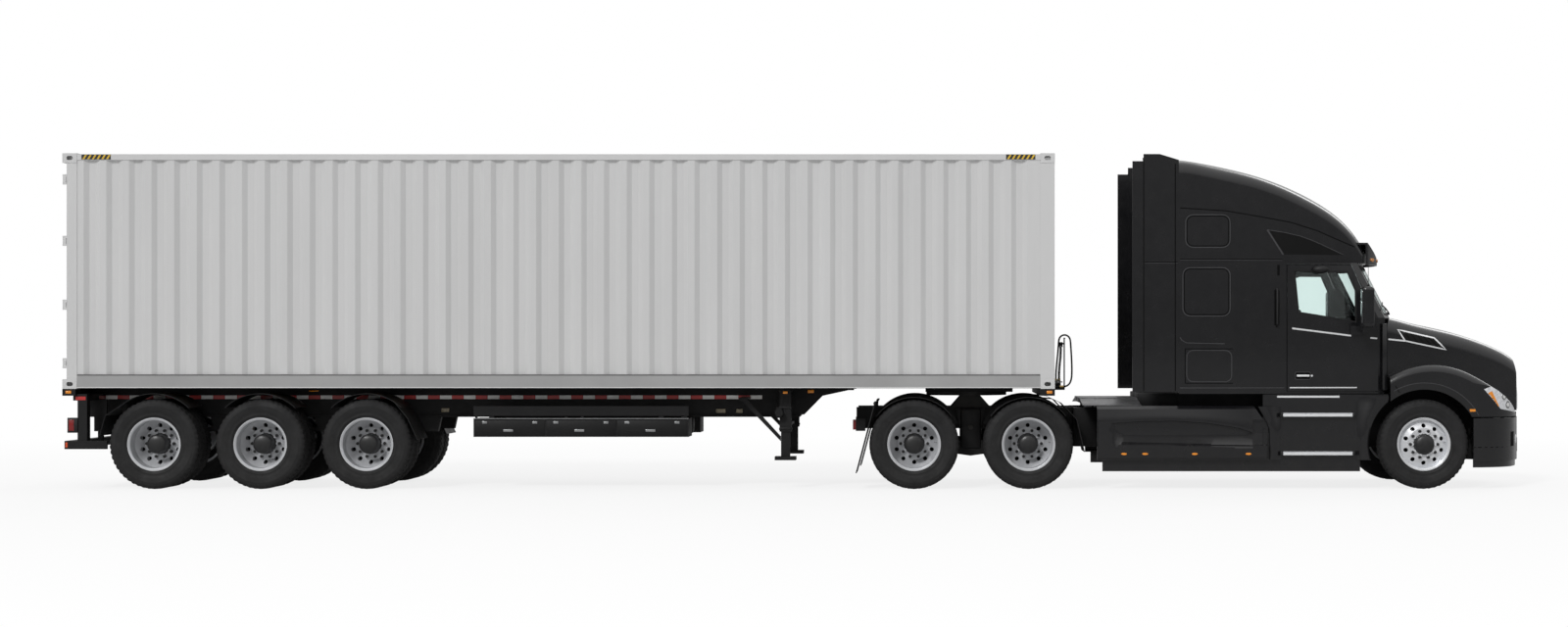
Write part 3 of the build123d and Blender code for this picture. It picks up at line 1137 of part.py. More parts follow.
def trailer_fenders():
    """Arched fenders over the trailer's wheels, drawn down at the front and at the rear."""
    inner = -DUAL_INNER + TYRE_WIDTH / 2 + 10
    radius = TRAILER_FENDER_RADIUS
    crown = TYRE_RADIUS + radius
    start = (radius + FENDER_SKIN / 2) * math.cos(math.radians(55))
    rise = TYRE_RADIUS + (radius + FENDER_SKIN / 2) * math.sin(math.radians(55))
    pieces = []
    for x in TRAILER_AXLES:
        parts = [arch_over(x, radius, -HALF_WIDTH, inner, 1000),
                 block(x - 20, x + 20, inner - 5, -BEAM_HALF - BEAM_WALL / 2, crown, crown + FENDER_SKIN)]
        if x == TRAILER_AXLES[2]:
            line = [(x + start, rise), (x + 512, 873), (x + 632, 613)]
            parts.append(side_plate(strip(line, FENDER_SKIN), -HALF_WIDTH, inner))
        if x == TRAILER_AXLES[0]:
            line = [(x - 664, 660), (x - 595, 909), (x - start, rise)]
            parts.append(side_plate(strip(line, FENDER_SKIN), -HALF_WIDTH, inner))
        pieces += mirrored(fused(parts))
    return pieces


def trailer_lamps():
    """Tail lamps behind the bumper's legs."""
    return mirrored(block(TRAILER_LAMP_REAR, REAR_LEG_REAR, -1190, -1060, 697, 877))


# ================================================================ container
def wave(start, end, pitch, depth):
    """A corrugation's outer line as (along, in) points."""
    points = []
    count = math.floor((end - start) / pitch)
    for index in range(count):
        place = start + index * pitch
        points += [(place, 0), (place + 0.29 * pitch, 0), (place + 0.505 * pitch, depth),
                   (place + 0.785 * pitch, depth)]
    return points + [(start + count * pitch, 0), (end, 0)]


def sheet(points):
    """A corrugated sheet's closed outline from its outer line."""
    return points + [(along, depth + SHEET) for along, depth in reversed(points)]


def casting(x, z, outward):
    """A hollow corner casting on the right side, with holes at its end, its side and its top or bottom."""
    y = -HALF_WIDTH
    wall = CASTING_WALL
    middle_x, middle_y, middle_z = x + CASTING_LENGTH / 2, y + CASTING_WIDTH / 2, z + CASTING_HEIGHT / 2
    body = block(x, x + CASTING_LENGTH, y, y + CASTING_WIDTH, z, z + CASTING_HEIGHT)
    room = block(x + wall, x + CASTING_LENGTH - wall, y + wall, y + CASTING_WIDTH - wall,
                 z + wall, z + CASTING_HEIGHT - wall)
    end_x = x if x < CONTAINER_LENGTH / 2 else x + CASTING_LENGTH
    end_z = z if outward < 0 else z + CASTING_HEIGHT
    run = (CASTING_SLOT - CASTING_HOLE) / 2
    half = CASTING_HOLE / 2
    short, low = run / 2, half * 0.8
    deep = wall + 1
    tools = [room, block(middle_x - run, middle_x + run, middle_y - half, middle_y + half,
                         end_z - deep, end_z + deep)]
    for side in (-1, 1):
        tools.append(rod_z(middle_x + side * run, middle_y, half, end_z - deep, end_z + deep))
        tools.append(rod_y(middle_x + side * short, middle_z, low, y - 1, y + deep))
        tools.append(rod_x(end_x - deep, end_x + deep, middle_y + side * short, middle_z, low))
    tools.append(block(middle_x - short, middle_x + short, y - 1, y + deep, middle_z - low, middle_z + low))
    tools.append(block(end_x - deep, end_x + deep, middle_y - short, middle_y + short,
                       middle_z - low, middle_z + low))
    return cut(body, *tools)


def container_frame():
    """The container's base on its bottom castings, and the two headers with their top castings."""
    base, top = CONTAINER_BASE, CONTAINER_TOP
    front = CONTAINER_LENGTH
    low, high = base + RAIL_LIFT, base + RAIL_LIFT + BOTTOM_RAIL
    inner = -HALF_WIDTH + CASTING_WIDTH
    ends = (0, front - CASTING_LENGTH)
    pieces = [piece for x in ends for piece in mirrored(casting(x, base, -1))]
    pieces += mirrored(block(CASTING_LENGTH, front - CASTING_LENGTH, -HALF_WIDTH + 4, -HALF_WIDTH + 54,
                             low, high))
    pieces.append(block(REAR_SILL, SILL_FRONT, inner - 2, -inner + 2, low, high))
    pieces += mirrored(block(CASTING_LENGTH, CASTING_LENGTH + 40, -HALF_WIDTH + 50, inner + 2, low, high))
    pieces += mirrored(block(front - END_SILL, front - 6, inner - 2, -TUNNEL_HALF, low, high))
    pieces.append(block(front - END_SILL, front - 6, inner - 2, -inner + 2, base + TUNNEL_HEIGHT, high))
    tunnel = front - TUNNEL_LENGTH
    depth = CROSSMEMBER_DEPTH
    for x in places(400, tunnel - 100, CROSSMEMBER_PITCH):
        pieces.append(block(x, x + 50, -HALF_WIDTH + 50, HALF_WIDTH - 50, low, low + depth))
    for x in places(tunnel + 100, front - 300, CROSSMEMBER_PITCH):
        pieces += mirrored(block(x, x + 50, -HALF_WIDTH + 50, -TUNNEL_HALF, low, low + depth))
    pieces += mirrored(block(tunnel, front - 70, -TUNNEL_HALF - 8, -TUNNEL_HALF, low, low + depth))
    pieces.append(block(tunnel, front - 70, -TUNNEL_HALF - 8, TUNNEL_HALF + 8,
                        base + TUNNEL_HEIGHT, low + depth))
    under = top - CASTING_HEIGHT
    front_header = [block(front - 80, front - 6, inner - 2, -inner + 2, under, top - RAIL_DROP)]
    front_header += mirrored(casting(ends[1], under, 1))
    rear_header = [block(6, SILL_FRONT, inner - 2, -inner + 2, DOOR_HEAD, top - RAIL_DROP)]
    rear_header += mirrored(casting(0, under, 1))
    return fused(pieces), fused(front_header), fused(rear_header)


def side_wall():
    """The right wall: its corrugated sheet, top rail, corner posts and door hinge lugs."""
    base, top = CONTAINER_BASE, CONTAINER_TOP
    front = CONTAINER_LENGTH
    low = base + RAIL_LIFT + BOTTOM_RAIL
    high = top - RAIL_DROP - TOP_RAIL
    outer = -HALF_WIDTH + 12
    ribs = wave(CASTING_LENGTH, front - CASTING_LENGTH, CORRUGATION_PITCH, CORRUGATION_DEPTH)
    line = [(x, outer + depth) for x, depth in sheet(ribs)]
    pieces = [plan_plate(line, low, high + 2)]
    pieces.append(block(CASTING_LENGTH, front - CASTING_LENGTH, -HALF_WIDTH + 4, -HALF_WIDTH + 64,
                        high, top - RAIL_DROP))
    foot, head = base + CASTING_HEIGHT, top - CASTING_HEIGHT
    for x0, x1 in ((REAR_POST, CASTING_LENGTH), (front - CASTING_LENGTH, front - 2)):
        pieces.append(block(x0, x1, -HALF_WIDTH + 6, -HALF_WIDTH + 6 + POST_DEPTH, foot, head))
    for z in HINGE_HEIGHTS:
        for side in (-1, 1):
            start = z + side * (HINGE_BLADE / 2 + 3)
            lug = block(HINGE_INSET - 8, REAR_POST + 1, -HALF_WIDTH + 4, -HALF_WIDTH + 22,
                        start, start + side * 25)
            pin = rod_z(HINGE_INSET, -HALF_WIDTH + 13, LEAF_PIN + TOUCH_GAP, start - 30, start + 30)
            pieces.append(cut(lug, pin))
    return fused(pieces)


def container_panels():
    """The side walls, the corrugated front wall and the roof."""
    front = CONTAINER_LENGTH
    low = CONTAINER_BASE + RAIL_LIFT + BOTTOM_RAIL
    half = HALF_WIDTH - 6 - POST_DEPTH - TOUCH_GAP
    line = [(front - 8 - depth, y) for y, depth in sheet(wave(-half, half, END_PITCH, CORRUGATION_DEPTH))]
    end_wall = plan_plate(line, low, CONTAINER_TOP - CASTING_HEIGHT)
    half = HALF_WIDTH - 64 - TOUCH_GAP
    outer = wave(SILL_FRONT + TOUCH_GAP, front - END_SILL - TOUCH_GAP, ROOF_PITCH, ROOF_WAVE)
    line = [(x, CONTAINER_TOP - ROOF_DROP - depth) for x, depth in sheet(outer)]
    roof = side_plate(line, -half, half)
    corners = []
    reach = CASTING_LENGTH + TOUCH_GAP
    for x0, x1 in ((0, reach), (front - reach, front)):
        corners += mirrored(block(x0, x1, -HALF_WIDTH, -HALF_WIDTH + CASTING_WIDTH + TOUCH_GAP,
                                  CONTAINER_TOP - 100, CONTAINER_TOP))
    return mirrored(side_wall()) + [end_wall, cut(roof, *corners)]


def container_floor():
    """The plywood floor on its crossmembers."""
    low = CONTAINER_BASE + RAIL_LIFT + CROSSMEMBER_DEPTH
    half = HALF_WIDTH - 62
    pieces = block(SILL_FRONT, CONTAINER_LENGTH - END_SILL, -half, half, low, low + FLOOR_THICKNESS)
    corner = block(0, CASTING_LENGTH + 42, -half - 1, -HALF_WIDTH + CASTING_WIDTH + 4, low - 1, low + 60)
    return cut(pieces, corner, left_of(corner))


def container_door_r():
    """The right rear leaf: frame, corrugated panel, hinges, lock rods and handles."""
    base = CONTAINER_BASE + RAIL_LIFT + BOTTOM_RAIL + SHUT_GAP
    top = DOOR_HEAD - SHUT_GAP
    outer = -HALF_WIDTH + 60 + SHUT_GAP
    leaf = block(LEAF_OUTER, LEAF_OUTER + DOOR_LEAF, outer, -6, base, top)
    room = block(LEAF_OUTER - 1, LEAF_OUTER + DOOR_LEAF + 1, outer + LEAF_FRAME, -6 - LEAF_FRAME,
                 base + LEAF_FRAME, top - LEAF_FRAME)
    bands = wave(base + LEAF_FRAME - 2, top - LEAF_FRAME + 2, DOOR_PITCH, CORRUGATION_DEPTH)
    line = [(LEAF_OUTER + 4 + depth, z) for z, depth in sheet(bands)]
    pieces = [cut(leaf, room), side_plate(line, outer + LEAF_FRAME - 2, -4 - LEAF_FRAME)]
    for z in HINGE_HEIGHTS:
        low, high = z - HINGE_BLADE / 2, z + HINGE_BLADE / 2
        pieces.append(block(24, LEAF_OUTER + 1, -HALF_WIDTH + 5, -HALF_WIDTH + 120, low, high))
        pieces.append(block(HINGE_INSET - 7, 30, -HALF_WIDTH + 5, -HALF_WIDTH + 21, low, high))
        pieces.append(rod_z(HINGE_INSET, -HALF_WIDTH + 13, LEAF_PIN, low - 27, high + 27))
    grip = base + HANDLE_HEIGHT
    for y in LOCK_RODS:
        pieces.append(rod_z(26, -y, LOCK_ROD_RADIUS, base + 20, top - 20))
        for z in [base + height for height in LOCK_HEIGHTS] + [top - 100]:
            pieces.append(block(HINGE_INSET, LEAF_OUTER + 5, -y - 40, -y + 40, z, z + 40))
        pieces.append(block(HINGE_INSET, HINGE_INSET + 10, -y, -y + 260, grip, grip + 28))
        pieces.append(block(HINGE_INSET + 8, LEAF_OUTER + 40, -y + 225, -y + 250, grip - 6, grip + 34))
    return fused(pieces)


# ================================================================ hoses
def cord_tube(name, route, radius):
    """A cord's plain tube along straight runs joined by arcs as large as the runs allow."""
    points = [Vector(x_at(x), y, z) for x, y, z in route]
    radii = []
    for before, corner, after in zip(points, points[1:], points[2:]):
        run_in = corner - before
        run_out = after - corner
        turn = math.radians(run_in.get_angle(run_out))
        radii.append(0.45 * min(run_in.length, run_out.length) / math.tan(turn / 2))
    path = FilletPolyline(*points, radius=radii)
    section = Plane(origin=path @ 0, z_dir=path % 0) * Circle(radius)
    tube = sweep(section, path=path)
    print(name, "radii", [round(value) for value in radii], "length", round(path.length),
          "volume ratio", round(tube.volume / (math.pi * radius ** 2 * path.length), 5))
    keep(name, tube)


HOSE_ROUTE = (
    (HOSE_FOOT, -300, COUPLING_TOP), (HOSE_FOOT, -300, 1400), (HOSE_FOOT + 10, -299, 1530),
    (HOSE_FOOT + 23, -297, 1650), (HOSE_FOOT + 33, -293, 1770), (HOSE_FOOT + 40, -289, 1860),
    (HOSE_FOOT + 83, -283, 1900), (HOSE_FOOT + 140, -277, 1900), (HOSE_FOOT + 183, -271, 1860),
    (HOSE_FOOT + 191, -265, 1770), (HOSE_FOOT + 199, -258, 1650), (HOSE_FOOT + 205, -251, 1530),
    (HOSE_FOOT + 207, -245, 1420), (HOSE_FOOT + 200, -241, 1330), (HOSE_FOOT + 168, -239, 1266),
    (HOSE_FOOT + 110, -238, HOSE_RETURN), (HOSE_FOOT + 50, -238, HOSE_RETURN),
)
CABLE_ROUTE = (
    (HOSE_FOOT + 46, -175, COUPLING_TOP), (HOSE_FOOT + 46, -175, 1400), (HOSE_FOOT + 52, -177, 1520),
    (HOSE_FOOT + 68, -182, 1640), (HOSE_FOOT + 68, -182, CABLE_TOP),
)


def hose_stand():
    """Couplings on a bracket ahead of the front bolster, and the post that the hoses hang on."""
    front = CONTAINER_LENGTH
    top = CONTAINER_BASE
    shelf = block(front, HOSE_FOOT + 110, -350, -130, top - 30, top - 10)
    pieces = [shelf, rod_z(HOSE_FOOT, -300, 22, top - 12, COUPLING_TOP),
              rod_z(HOSE_FOOT + 46, -175, 24, top - 12, COUPLING_TOP)]
    pieces.append(rod_x(HOSE_FOOT + 10, HOSE_FOOT + 50, -238, HOSE_RETURN, 14))
    pieces.append(rod_z(HOSE_FOOT + HOOK, -215, 9, top - 12, HOOK_TOP))
    pieces.append(rod_y(HOSE_FOOT + HOOK, HOOK_TOP - 9, 9, -310, -170))
    pieces.append(rod_z(HOSE_FOOT + 68, -182, 25, CABLE_TOP, CABLE_TOP + 50))
    pieces.append(block(HOSE_FOOT + 68, HOSE_FOOT + HOOK, -222, -182, CABLE_TOP + 20, CABLE_TOP + 40))
    return pieces


# ================================================================ whole truck
def main():
    """Write every node."""
    os.makedirs("parts", exist_ok=True)
    save_wheels()
    keep("tractor_frame", tractor_frame())
    keep("tractor_axles", front_beam(), drive_bogie())
    keep("fifth_wheel", fifth_wheel())
    keep("engine", engine())
    save_cab()
    keep("cab_interior", *cab_interior())
    save_hood()
    keep("bumper", bumper())
    keep("side_fairings", *side_fairings())
    keep("steps_and_deck", *steps_and_deck())
    keep("drive_fenders", *drive_fenders())
    keep("tractor_lamps", *tractor_lamps())
    knuckle = knuckle_r()
    keep("knuckle_r", knuckle)
    keep("knuckle_l", left_of(knuckle))
    keep("chassis_frame", chassis_frame())
    keep("trailer_axles", trailer_axles())
    keep("landing_gear", landing_gear())
    keep("trailer_fenders", *trailer_fenders())
    keep("trailer_lamps", *trailer_lamps())
    keep("container_frame", *container_frame())
    keep("container_panels", *container_panels())
    keep("container_floor", container_floor())
    cord_tube("air_hose", HOSE_ROUTE, HOSE_RADIUS)
    cord_tube("power_cable", CABLE_ROUTE, COIL_RADIUS)
    leaf = container_door_r()
    keep("container_door_r", leaf)
    keep("container_door_l", left_of(leaf))


main()
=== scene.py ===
import json
import math

import bmesh
import bpy
from mathutils import Matrix, Vector


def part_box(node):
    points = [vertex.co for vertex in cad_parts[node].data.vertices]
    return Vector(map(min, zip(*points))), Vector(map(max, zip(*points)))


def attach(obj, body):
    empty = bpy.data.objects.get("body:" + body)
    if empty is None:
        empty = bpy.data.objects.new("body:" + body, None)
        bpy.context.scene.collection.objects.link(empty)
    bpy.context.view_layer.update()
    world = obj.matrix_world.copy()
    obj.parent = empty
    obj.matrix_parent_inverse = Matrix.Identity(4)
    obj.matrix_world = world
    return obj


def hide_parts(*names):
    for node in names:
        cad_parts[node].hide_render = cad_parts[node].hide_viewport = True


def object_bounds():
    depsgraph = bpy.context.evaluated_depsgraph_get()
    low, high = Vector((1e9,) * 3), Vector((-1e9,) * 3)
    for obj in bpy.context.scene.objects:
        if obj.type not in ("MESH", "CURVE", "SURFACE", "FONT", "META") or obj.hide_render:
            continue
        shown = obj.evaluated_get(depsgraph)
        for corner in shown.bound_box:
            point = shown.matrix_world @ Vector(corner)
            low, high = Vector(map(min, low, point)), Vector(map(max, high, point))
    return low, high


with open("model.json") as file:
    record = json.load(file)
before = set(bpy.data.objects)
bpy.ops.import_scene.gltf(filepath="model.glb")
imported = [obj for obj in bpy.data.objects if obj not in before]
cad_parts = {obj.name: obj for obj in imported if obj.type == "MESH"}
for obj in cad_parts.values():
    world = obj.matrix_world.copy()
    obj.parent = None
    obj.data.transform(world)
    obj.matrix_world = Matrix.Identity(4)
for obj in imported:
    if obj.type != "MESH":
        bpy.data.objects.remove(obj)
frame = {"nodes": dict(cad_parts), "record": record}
cad_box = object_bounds()
nodes = frame["nodes"]


# ---------------------------------------------------------------- shader nodes
def set_inputs(tree, node, inputs):
    """A node's inputs, each linked to a socket or set to a number, a vector or a colour."""
    for key, value in inputs.items():
        socket = node.inputs[key]
        if isinstance(value, bpy.types.NodeSocket):
            tree.links.new(value, socket)
        else:
            socket.default_value = (*value, 1) if socket.type == "RGBA" else value


def add_node(tree, kind, inputs, **settings):
    """A shader node with its settings and inputs."""
    node = tree.nodes.new("ShaderNode" + kind)
    for name, value in settings.items():
        setattr(node, name, value)
    set_inputs(tree, node, inputs)
    return node


def new_material(name):
    """A material with its node tree emptied down to one Principled shader."""
    made = bpy.data.materials.new(name)
    made.use_nodes = True
    tree = made.node_tree
    tree.nodes.clear()
    shader = add_node(tree, "BsdfPrincipled", {})
    add_node(tree, "OutputMaterial", {"Surface": shader.outputs["BSDF"]})
    return made, tree, shader


def object_coords(tree, scale=(1, 1, 1)):
    """Object coordinates, stretched by a scale along each axis."""
    coords = add_node(tree, "TexCoord", {})
    return add_node(tree, "Mapping", {"Scale": scale, "Vector": coords.outputs["Object"]}).outputs["Vector"]


def noise(tree, vector, scale, detail=4, roughness=0.55):
    """A noise texture's value."""
    inputs = {"Vector": vector, "Scale": scale, "Detail": detail, "Roughness": roughness}
    return add_node(tree, "TexNoise", inputs).outputs["Fac"]


def ramp(tree, value, low, high):
    """A value turned into a colour between two, over the middle of its range."""
    node = add_node(tree, "ValToRGB", {"Fac": value})
    for element, place, colour in zip(node.color_ramp.elements, (0.3, 0.7), (low, high)):
        element.position = place
        element.color = (*colour, 1)
    return node.outputs["Color"]


def map_range(tree, value, low, high, to_low, to_high):
    """A value moved from one range to another, clamped."""
    inputs = {"Value": value, "From Min": low, "From Max": high, "To Min": to_low, "To Max": to_high}
    return add_node(tree, "MapRange", inputs).outputs["Result"]


def mix_colour(tree, factor, first, second):
    """Two colours mixed."""
    return add_node(tree, "Mix", {0: factor, 6: first, 7: second}, data_type="RGBA").outputs[2]


def maths(tree, kind, first, second=0.0):
    """A maths node; each input may be a socket or a number."""
    node = add_node(tree, "Math", {}, operation=kind)
    set_inputs(tree, node, {0: first, 1: second})
    return node.outputs[0]


def axes_of(tree, vector):
    """The X, Y and Z of a vector."""
    return add_node(tree, "SeparateXYZ", {0: vector}).outputs


def bump(tree, shader, height, strength):
    """A fine bump on the shader's normal."""
    node = add_node(tree, "Bump", {"Strength": strength, "Distance": 0.002, "Height": height})
    set_inputs(tree, shader, {"Normal": node.outputs["Normal"]})


def scaled(colour, factor):
    """A colour made lighter or darker."""
    return tuple(min(1.0, part * factor) for part in colour)


# ---------------------------------------------------------------- materials
def surface(name, colour, rough, metal=0.0, vary=0.12, patch=1.5, stretch=(1, 1, 1), grain=0.0,
            grain_scale=60.0, coat=0.0, dirt=0.0, dirt_top=1.2, dirt_colour=(0.16, 0.14, 0.12), specular=0.5):
    """A painted, moulded or cast surface: patchy colour and roughness, fine grain, dirt near the ground."""
    made, tree, shader = new_material(name)
    plain = object_coords(tree)
    patches = noise(tree, object_coords(tree, stretch), patch, 5)
    base = ramp(tree, patches, scaled(colour, 1 - vary), scaled(colour, 1 + vary))
    if dirt:
        fall = map_range(tree, axes_of(tree, plain)["Z"], 0.1, dirt_top, dirt, 0.0)
        speckle = map_range(tree, noise(tree, plain, 9, 8, 0.65), 0.35, 0.7, 0.2, 1.0)
        base = mix_colour(tree, maths(tree, "MULTIPLY", fall, speckle), base, dirt_colour)
    wear = noise(tree, plain, 7, 6, 0.6)
    worn = map_range(tree, wear, 0.3, 0.7, max(0.02, rough * 0.82), min(1, rough * 1.2))
    set_inputs(tree, shader, {"Base Color": base, "Roughness": worn, "Metallic": metal,
                              "Specular IOR Level": specular})
    if coat:
        set_inputs(tree, shader, {"Coat Weight": coat, "Coat Roughness": 0.06})
    if grain:
        bump(tree, shader, noise(tree, plain, grain_scale, 3), grain)
    return made


cab_paint = surface("cab_paint", (0.0068, 0.0068, 0.0078), 0.24, vary=0.1, patch=0.7, coat=0.5, grain=0.02,
                    grain_scale=400, dirt=0.04, dirt_top=1.0, specular=0.45)
chassis_paint = surface("chassis_paint", (0.006, 0.006, 0.0065), 0.5, vary=0.25, grain=0.12, grain_scale=160,
                        dirt=0.12, dirt_top=1.3, dirt_colour=(0.05, 0.045, 0.04), specular=0.3)
trim_plastic = surface("trim_plastic", (0.009, 0.009, 0.0095), 0.55, vary=0.2, grain=0.25, grain_scale=500,
                       dirt=0.08, dirt_top=1.2, dirt_colour=(0.05, 0.047, 0.044), specular=0.4)
rubber = surface("rubber", (0.007, 0.007, 0.007), 0.7, vary=0.2, grain=0.2, grain_scale=350, specular=0.35)
tyre_rubber = surface("tyre_rubber", (0.0115, 0.0115, 0.012), 0.72, vary=0.2, patch=5, grain=0.25,
                      grain_scale=420, dirt=0.2, dirt_top=1.1, dirt_colour=(0.04, 0.037, 0.034),
                      specular=0.35)
cast_metal = surface("cast_metal", (0.03, 0.029, 0.028), 0.6, metal=0.4, vary=0.3, patch=4, grain=0.5,
                     grain_scale=220, dirt=0.3, dirt_top=1.2, dirt_colour=(0.09, 0.075, 0.06))
wheel_silver = surface("wheel_silver", (0.52, 0.53, 0.55), 0.36, metal=0.3, vary=0.1, patch=9, grain=0.1,
                       grain_scale=300, dirt=0.14, dirt_top=1.1)
wheel_polished = surface("wheel_polished", (0.78, 0.79, 0.81), 0.2, metal=0.45, vary=0.05, patch=9,
                         grain=0.03, grain_scale=200)
hub_black = surface("hub_black", (0.014, 0.014, 0.0145), 0.36, vary=0.25, patch=12, grain=0.2,
                    grain_scale=260, dirt=0.15, dirt_top=1.0, dirt_colour=(0.06, 0.056, 0.052))
tread_plate = surface("tread_plate", (0.62, 0.63, 0.65), 0.3, metal=0.4, vary=0.1, patch=6, grain=0.5,
                      grain_scale=70)
deck_plate = surface("deck_plate", (0.13, 0.13, 0.135), 0.3, metal=0.4, vary=0.7, patch=60, grain=1.0,
                     grain_scale=60)
steel = surface("steel", (0.34, 0.345, 0.35), 0.35, metal=0.6, vary=0.15, patch=14, grain=0.2,
                grain_scale=260)
chrome = surface("chrome", (0.88, 0.89, 0.90), 0.12, metal=0.35, vary=0.04, patch=9)
brass = surface("brass", (0.55, 0.40, 0.16), 0.35, metal=0.9, vary=0.15, patch=20, grain=0.2, grain_scale=300)
container_paint = surface("container_paint", (0.56, 0.56, 0.56), 0.55, vary=0.035, patch=0.9,
                          stretch=(2.5, 2.5, 0.35), grain=0.12, grain_scale=120)
# Painted highlight: a lighter grey strip along the lower lip of the container's bottom rail.
rail_lip_highlight = surface("rail_lip_highlight", (0.66, 0.66, 0.66), 0.5, vary=0.05, patch=2)
shadow_grey = surface("shadow_grey", (0.10, 0.10, 0.10), 0.7, vary=0.1, patch=2)
plywood = surface("plywood", (0.30, 0.19, 0.10), 0.6, vary=0.25, patch=3, stretch=(0.25, 4, 1), grain=0.3,
                  grain_scale=80)
interior = surface("interior", (0.07, 0.07, 0.075), 0.8, vary=0.2, patch=5, grain=0.4, grain_scale=450)
fabric = surface("fabric", (0.055, 0.056, 0.062), 0.92, vary=0.2, patch=8, grain=0.8, grain_scale=700,
                 specular=0.2)
linen = surface("linen", (0.42, 0.42, 0.44), 0.9, vary=0.08, patch=6, grain=0.5, grain_scale=600,
                specular=0.2)
seam_black = surface("seam_black", (0.003, 0.003, 0.003), 0.8, vary=0.1, specular=0.1)
# Painted shade: black for sheets put where only shade shows, behind the wheel discs and the radiator, inside
# the front wheel arch and under the roof's overhang.
shade_sheet_black = surface("shade_sheet_black", (0.004, 0.004, 0.004), 0.5, vary=0.1, specular=0.2)
mesh_black = surface("mesh_black", (0.006, 0.006, 0.006), 0.6, vary=0.3, patch=6, grain=1.0, grain_scale=120,
                     specular=0.2)
# Painted highlight: a lighter grey for thin strips along panel edges, seams and lips, standing in for light
# caught by those edges.
edge_highlight = surface("edge_highlight", (0.045, 0.045, 0.048), 0.4, vary=0.1)
mirror_silver = surface("mirror_silver", (0.80, 0.82, 0.84), 0.04, metal=1.0, vary=0.02, patch=2)
hazard_black = surface("hazard_black", (0.02, 0.02, 0.02), 0.6, vary=0.15, patch=6)
hazard_yellow = surface("hazard_yellow", (0.62, 0.40, 0.03), 0.55, vary=0.1, patch=6)
tape_red = surface("tape_red", (0.42, 0.02, 0.018), 0.4, vary=0.12, patch=9, coat=0.4, grain=0.3,
                   grain_scale=240)
tape_white = surface("tape_white", (0.66, 0.66, 0.65), 0.4, vary=0.1, patch=9, coat=0.4, grain=0.3,
                     grain_scale=240)
plate_white = surface("plate_white", (0.70, 0.70, 0.69), 0.45, vary=0.06, patch=8)


def clear_material(name, colour):
    """Clear glass."""
    made, tree, shader = new_material(name)
    tint = ramp(tree, noise(tree, object_coords(tree), 3), scaled(colour, 0.97), colour)
    set_inputs(tree, shader, {"Base Color": tint, "Roughness": 0.02, "Transmission Weight": 1.0, "IOR": 1.45})
    return made


glass = clear_material("glass", (0.85, 0.95, 0.93))
lens_clear = surface("lens_clear", (0.70, 0.71, 0.73), 0.12, metal=0.15, vary=0.2, patch=30, coat=1.0,
                     grain=0.2, grain_scale=120)
lens_red = surface("lens_red", (0.20, 0.008, 0.008), 0.15, vary=0.2, patch=30, coat=0.8, grain=0.3,
                   grain_scale=300)
lens_orange = surface("lens_orange", (0.62, 0.07, 0.01), 0.2, vary=0.15, patch=30, coat=0.8)
lens_dull = surface("lens_dull", (0.20, 0.17, 0.11), 0.3, vary=0.3, patch=20, coat=0.4)
lens_amber = surface("lens_amber", (0.80, 0.27, 0.02), 0.18, vary=0.15, patch=30, coat=0.8, grain=0.3,
                     grain_scale=300)


def two_greys(name, low, high):
    """The container's frame: light castings, posts and top rail, and a mid-grey bottom rail."""
    made, tree, shader = new_material(name)
    plain = object_coords(tree)
    patches = noise(tree, plain, 1.2, 5)
    rail = ramp(tree, patches, (0.30, 0.30, 0.30), (0.35, 0.35, 0.35))
    light = ramp(tree, patches, (0.53, 0.53, 0.53), (0.59, 0.59, 0.59))
    place = axes_of(tree, plain)
    casting = 0.178
    away = maths(tree, "ABSOLUTE", maths(tree, "SUBTRACT", place["X"], (low[0] + high[0]) / 2))
    at_end = maths(tree, "GREATER_THAN", away, (high[0] - low[0]) / 2 - casting)
    above = maths(tree, "GREATER_THAN", place["Z"], low[2] + casting)
    base = mix_colour(tree, maths(tree, "MAXIMUM", at_end, above), rail, light)
    set_inputs(tree, shader, {"Base Color": base, "Roughness": 0.55})
    bump(tree, shader, noise(tree, plain, 120, 3), 0.15)
    return made


MATERIALS = {
    "chassis_black": chassis_paint, "cab_black": cab_paint, "trim_black": trim_plastic,
    "rubber_black": rubber, "tyre_black": tyre_rubber, "wheel_silver": wheel_silver,
    "wheel_polished": wheel_polished, "tread_plate": tread_plate, "container_grey": container_paint,
    "plywood": plywood, "glass": glass,
    "lamp_clear": lens_clear, "lamp_red": lens_red, "cast_iron": cast_metal, "interior_grey": interior,
}
slot_of = {row["node"]: row["material_slot"] for row in frame["record"]["subparts"]}
for name, thing in nodes.items():
    thing.data.materials.clear()
    thing.data.materials.append(MATERIALS[slot_of[name]])
nodes["container_frame"].data.materials[0] = two_greys("container_frame_paint", *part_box("container_frame"))


# ---------------------------------------------------------------- stage, light and camera
def node_of(tree, kind):
    """The tree's one node of a kind."""
    return next(node for node in tree.nodes if node.type == kind)


def floor_material():
    """A pale floor whose glow grows outwards until it meets the surround."""
    made, tree, shader = new_material("floor_white")
    set_inputs(tree, shader, {"Base Color": (0.86, 0.86, 0.86), "Roughness": 0.9})
    path = add_node(tree, "LightPath", {}).outputs
    place = axes_of(tree, object_coords(tree, (0.4, 1, 1)))
    squares = [maths(tree, "MULTIPLY", place[axis], place[axis]) for axis in "XY"]
    away = maths(tree, "SQRT", maths(tree, "ADD", *squares))
    seen = maths(tree, "MULTIPLY", path["Is Camera Ray"], map_range(tree, away, 3.0, 16.0, 0.82, 1.0))
    mirrored = maths(tree, "MULTIPLY", path["Is Glossy Ray"], 0.7)
    strength = map_range(tree, path["Is Camera Ray"], 0, 1, 0.15, 1.0)
    glow = add_node(tree, "Emission", {"Strength": strength})
    mix = add_node(tree, "MixShader", {0: maths(tree, "MAXIMUM", seen, mirrored), 1: shader.outputs[0],
                                       2: glow.outputs[0]})
    set_inputs(tree, node_of(tree, "OUTPUT_MATERIAL"), {"Surface": mix.outputs[0]})
    return made


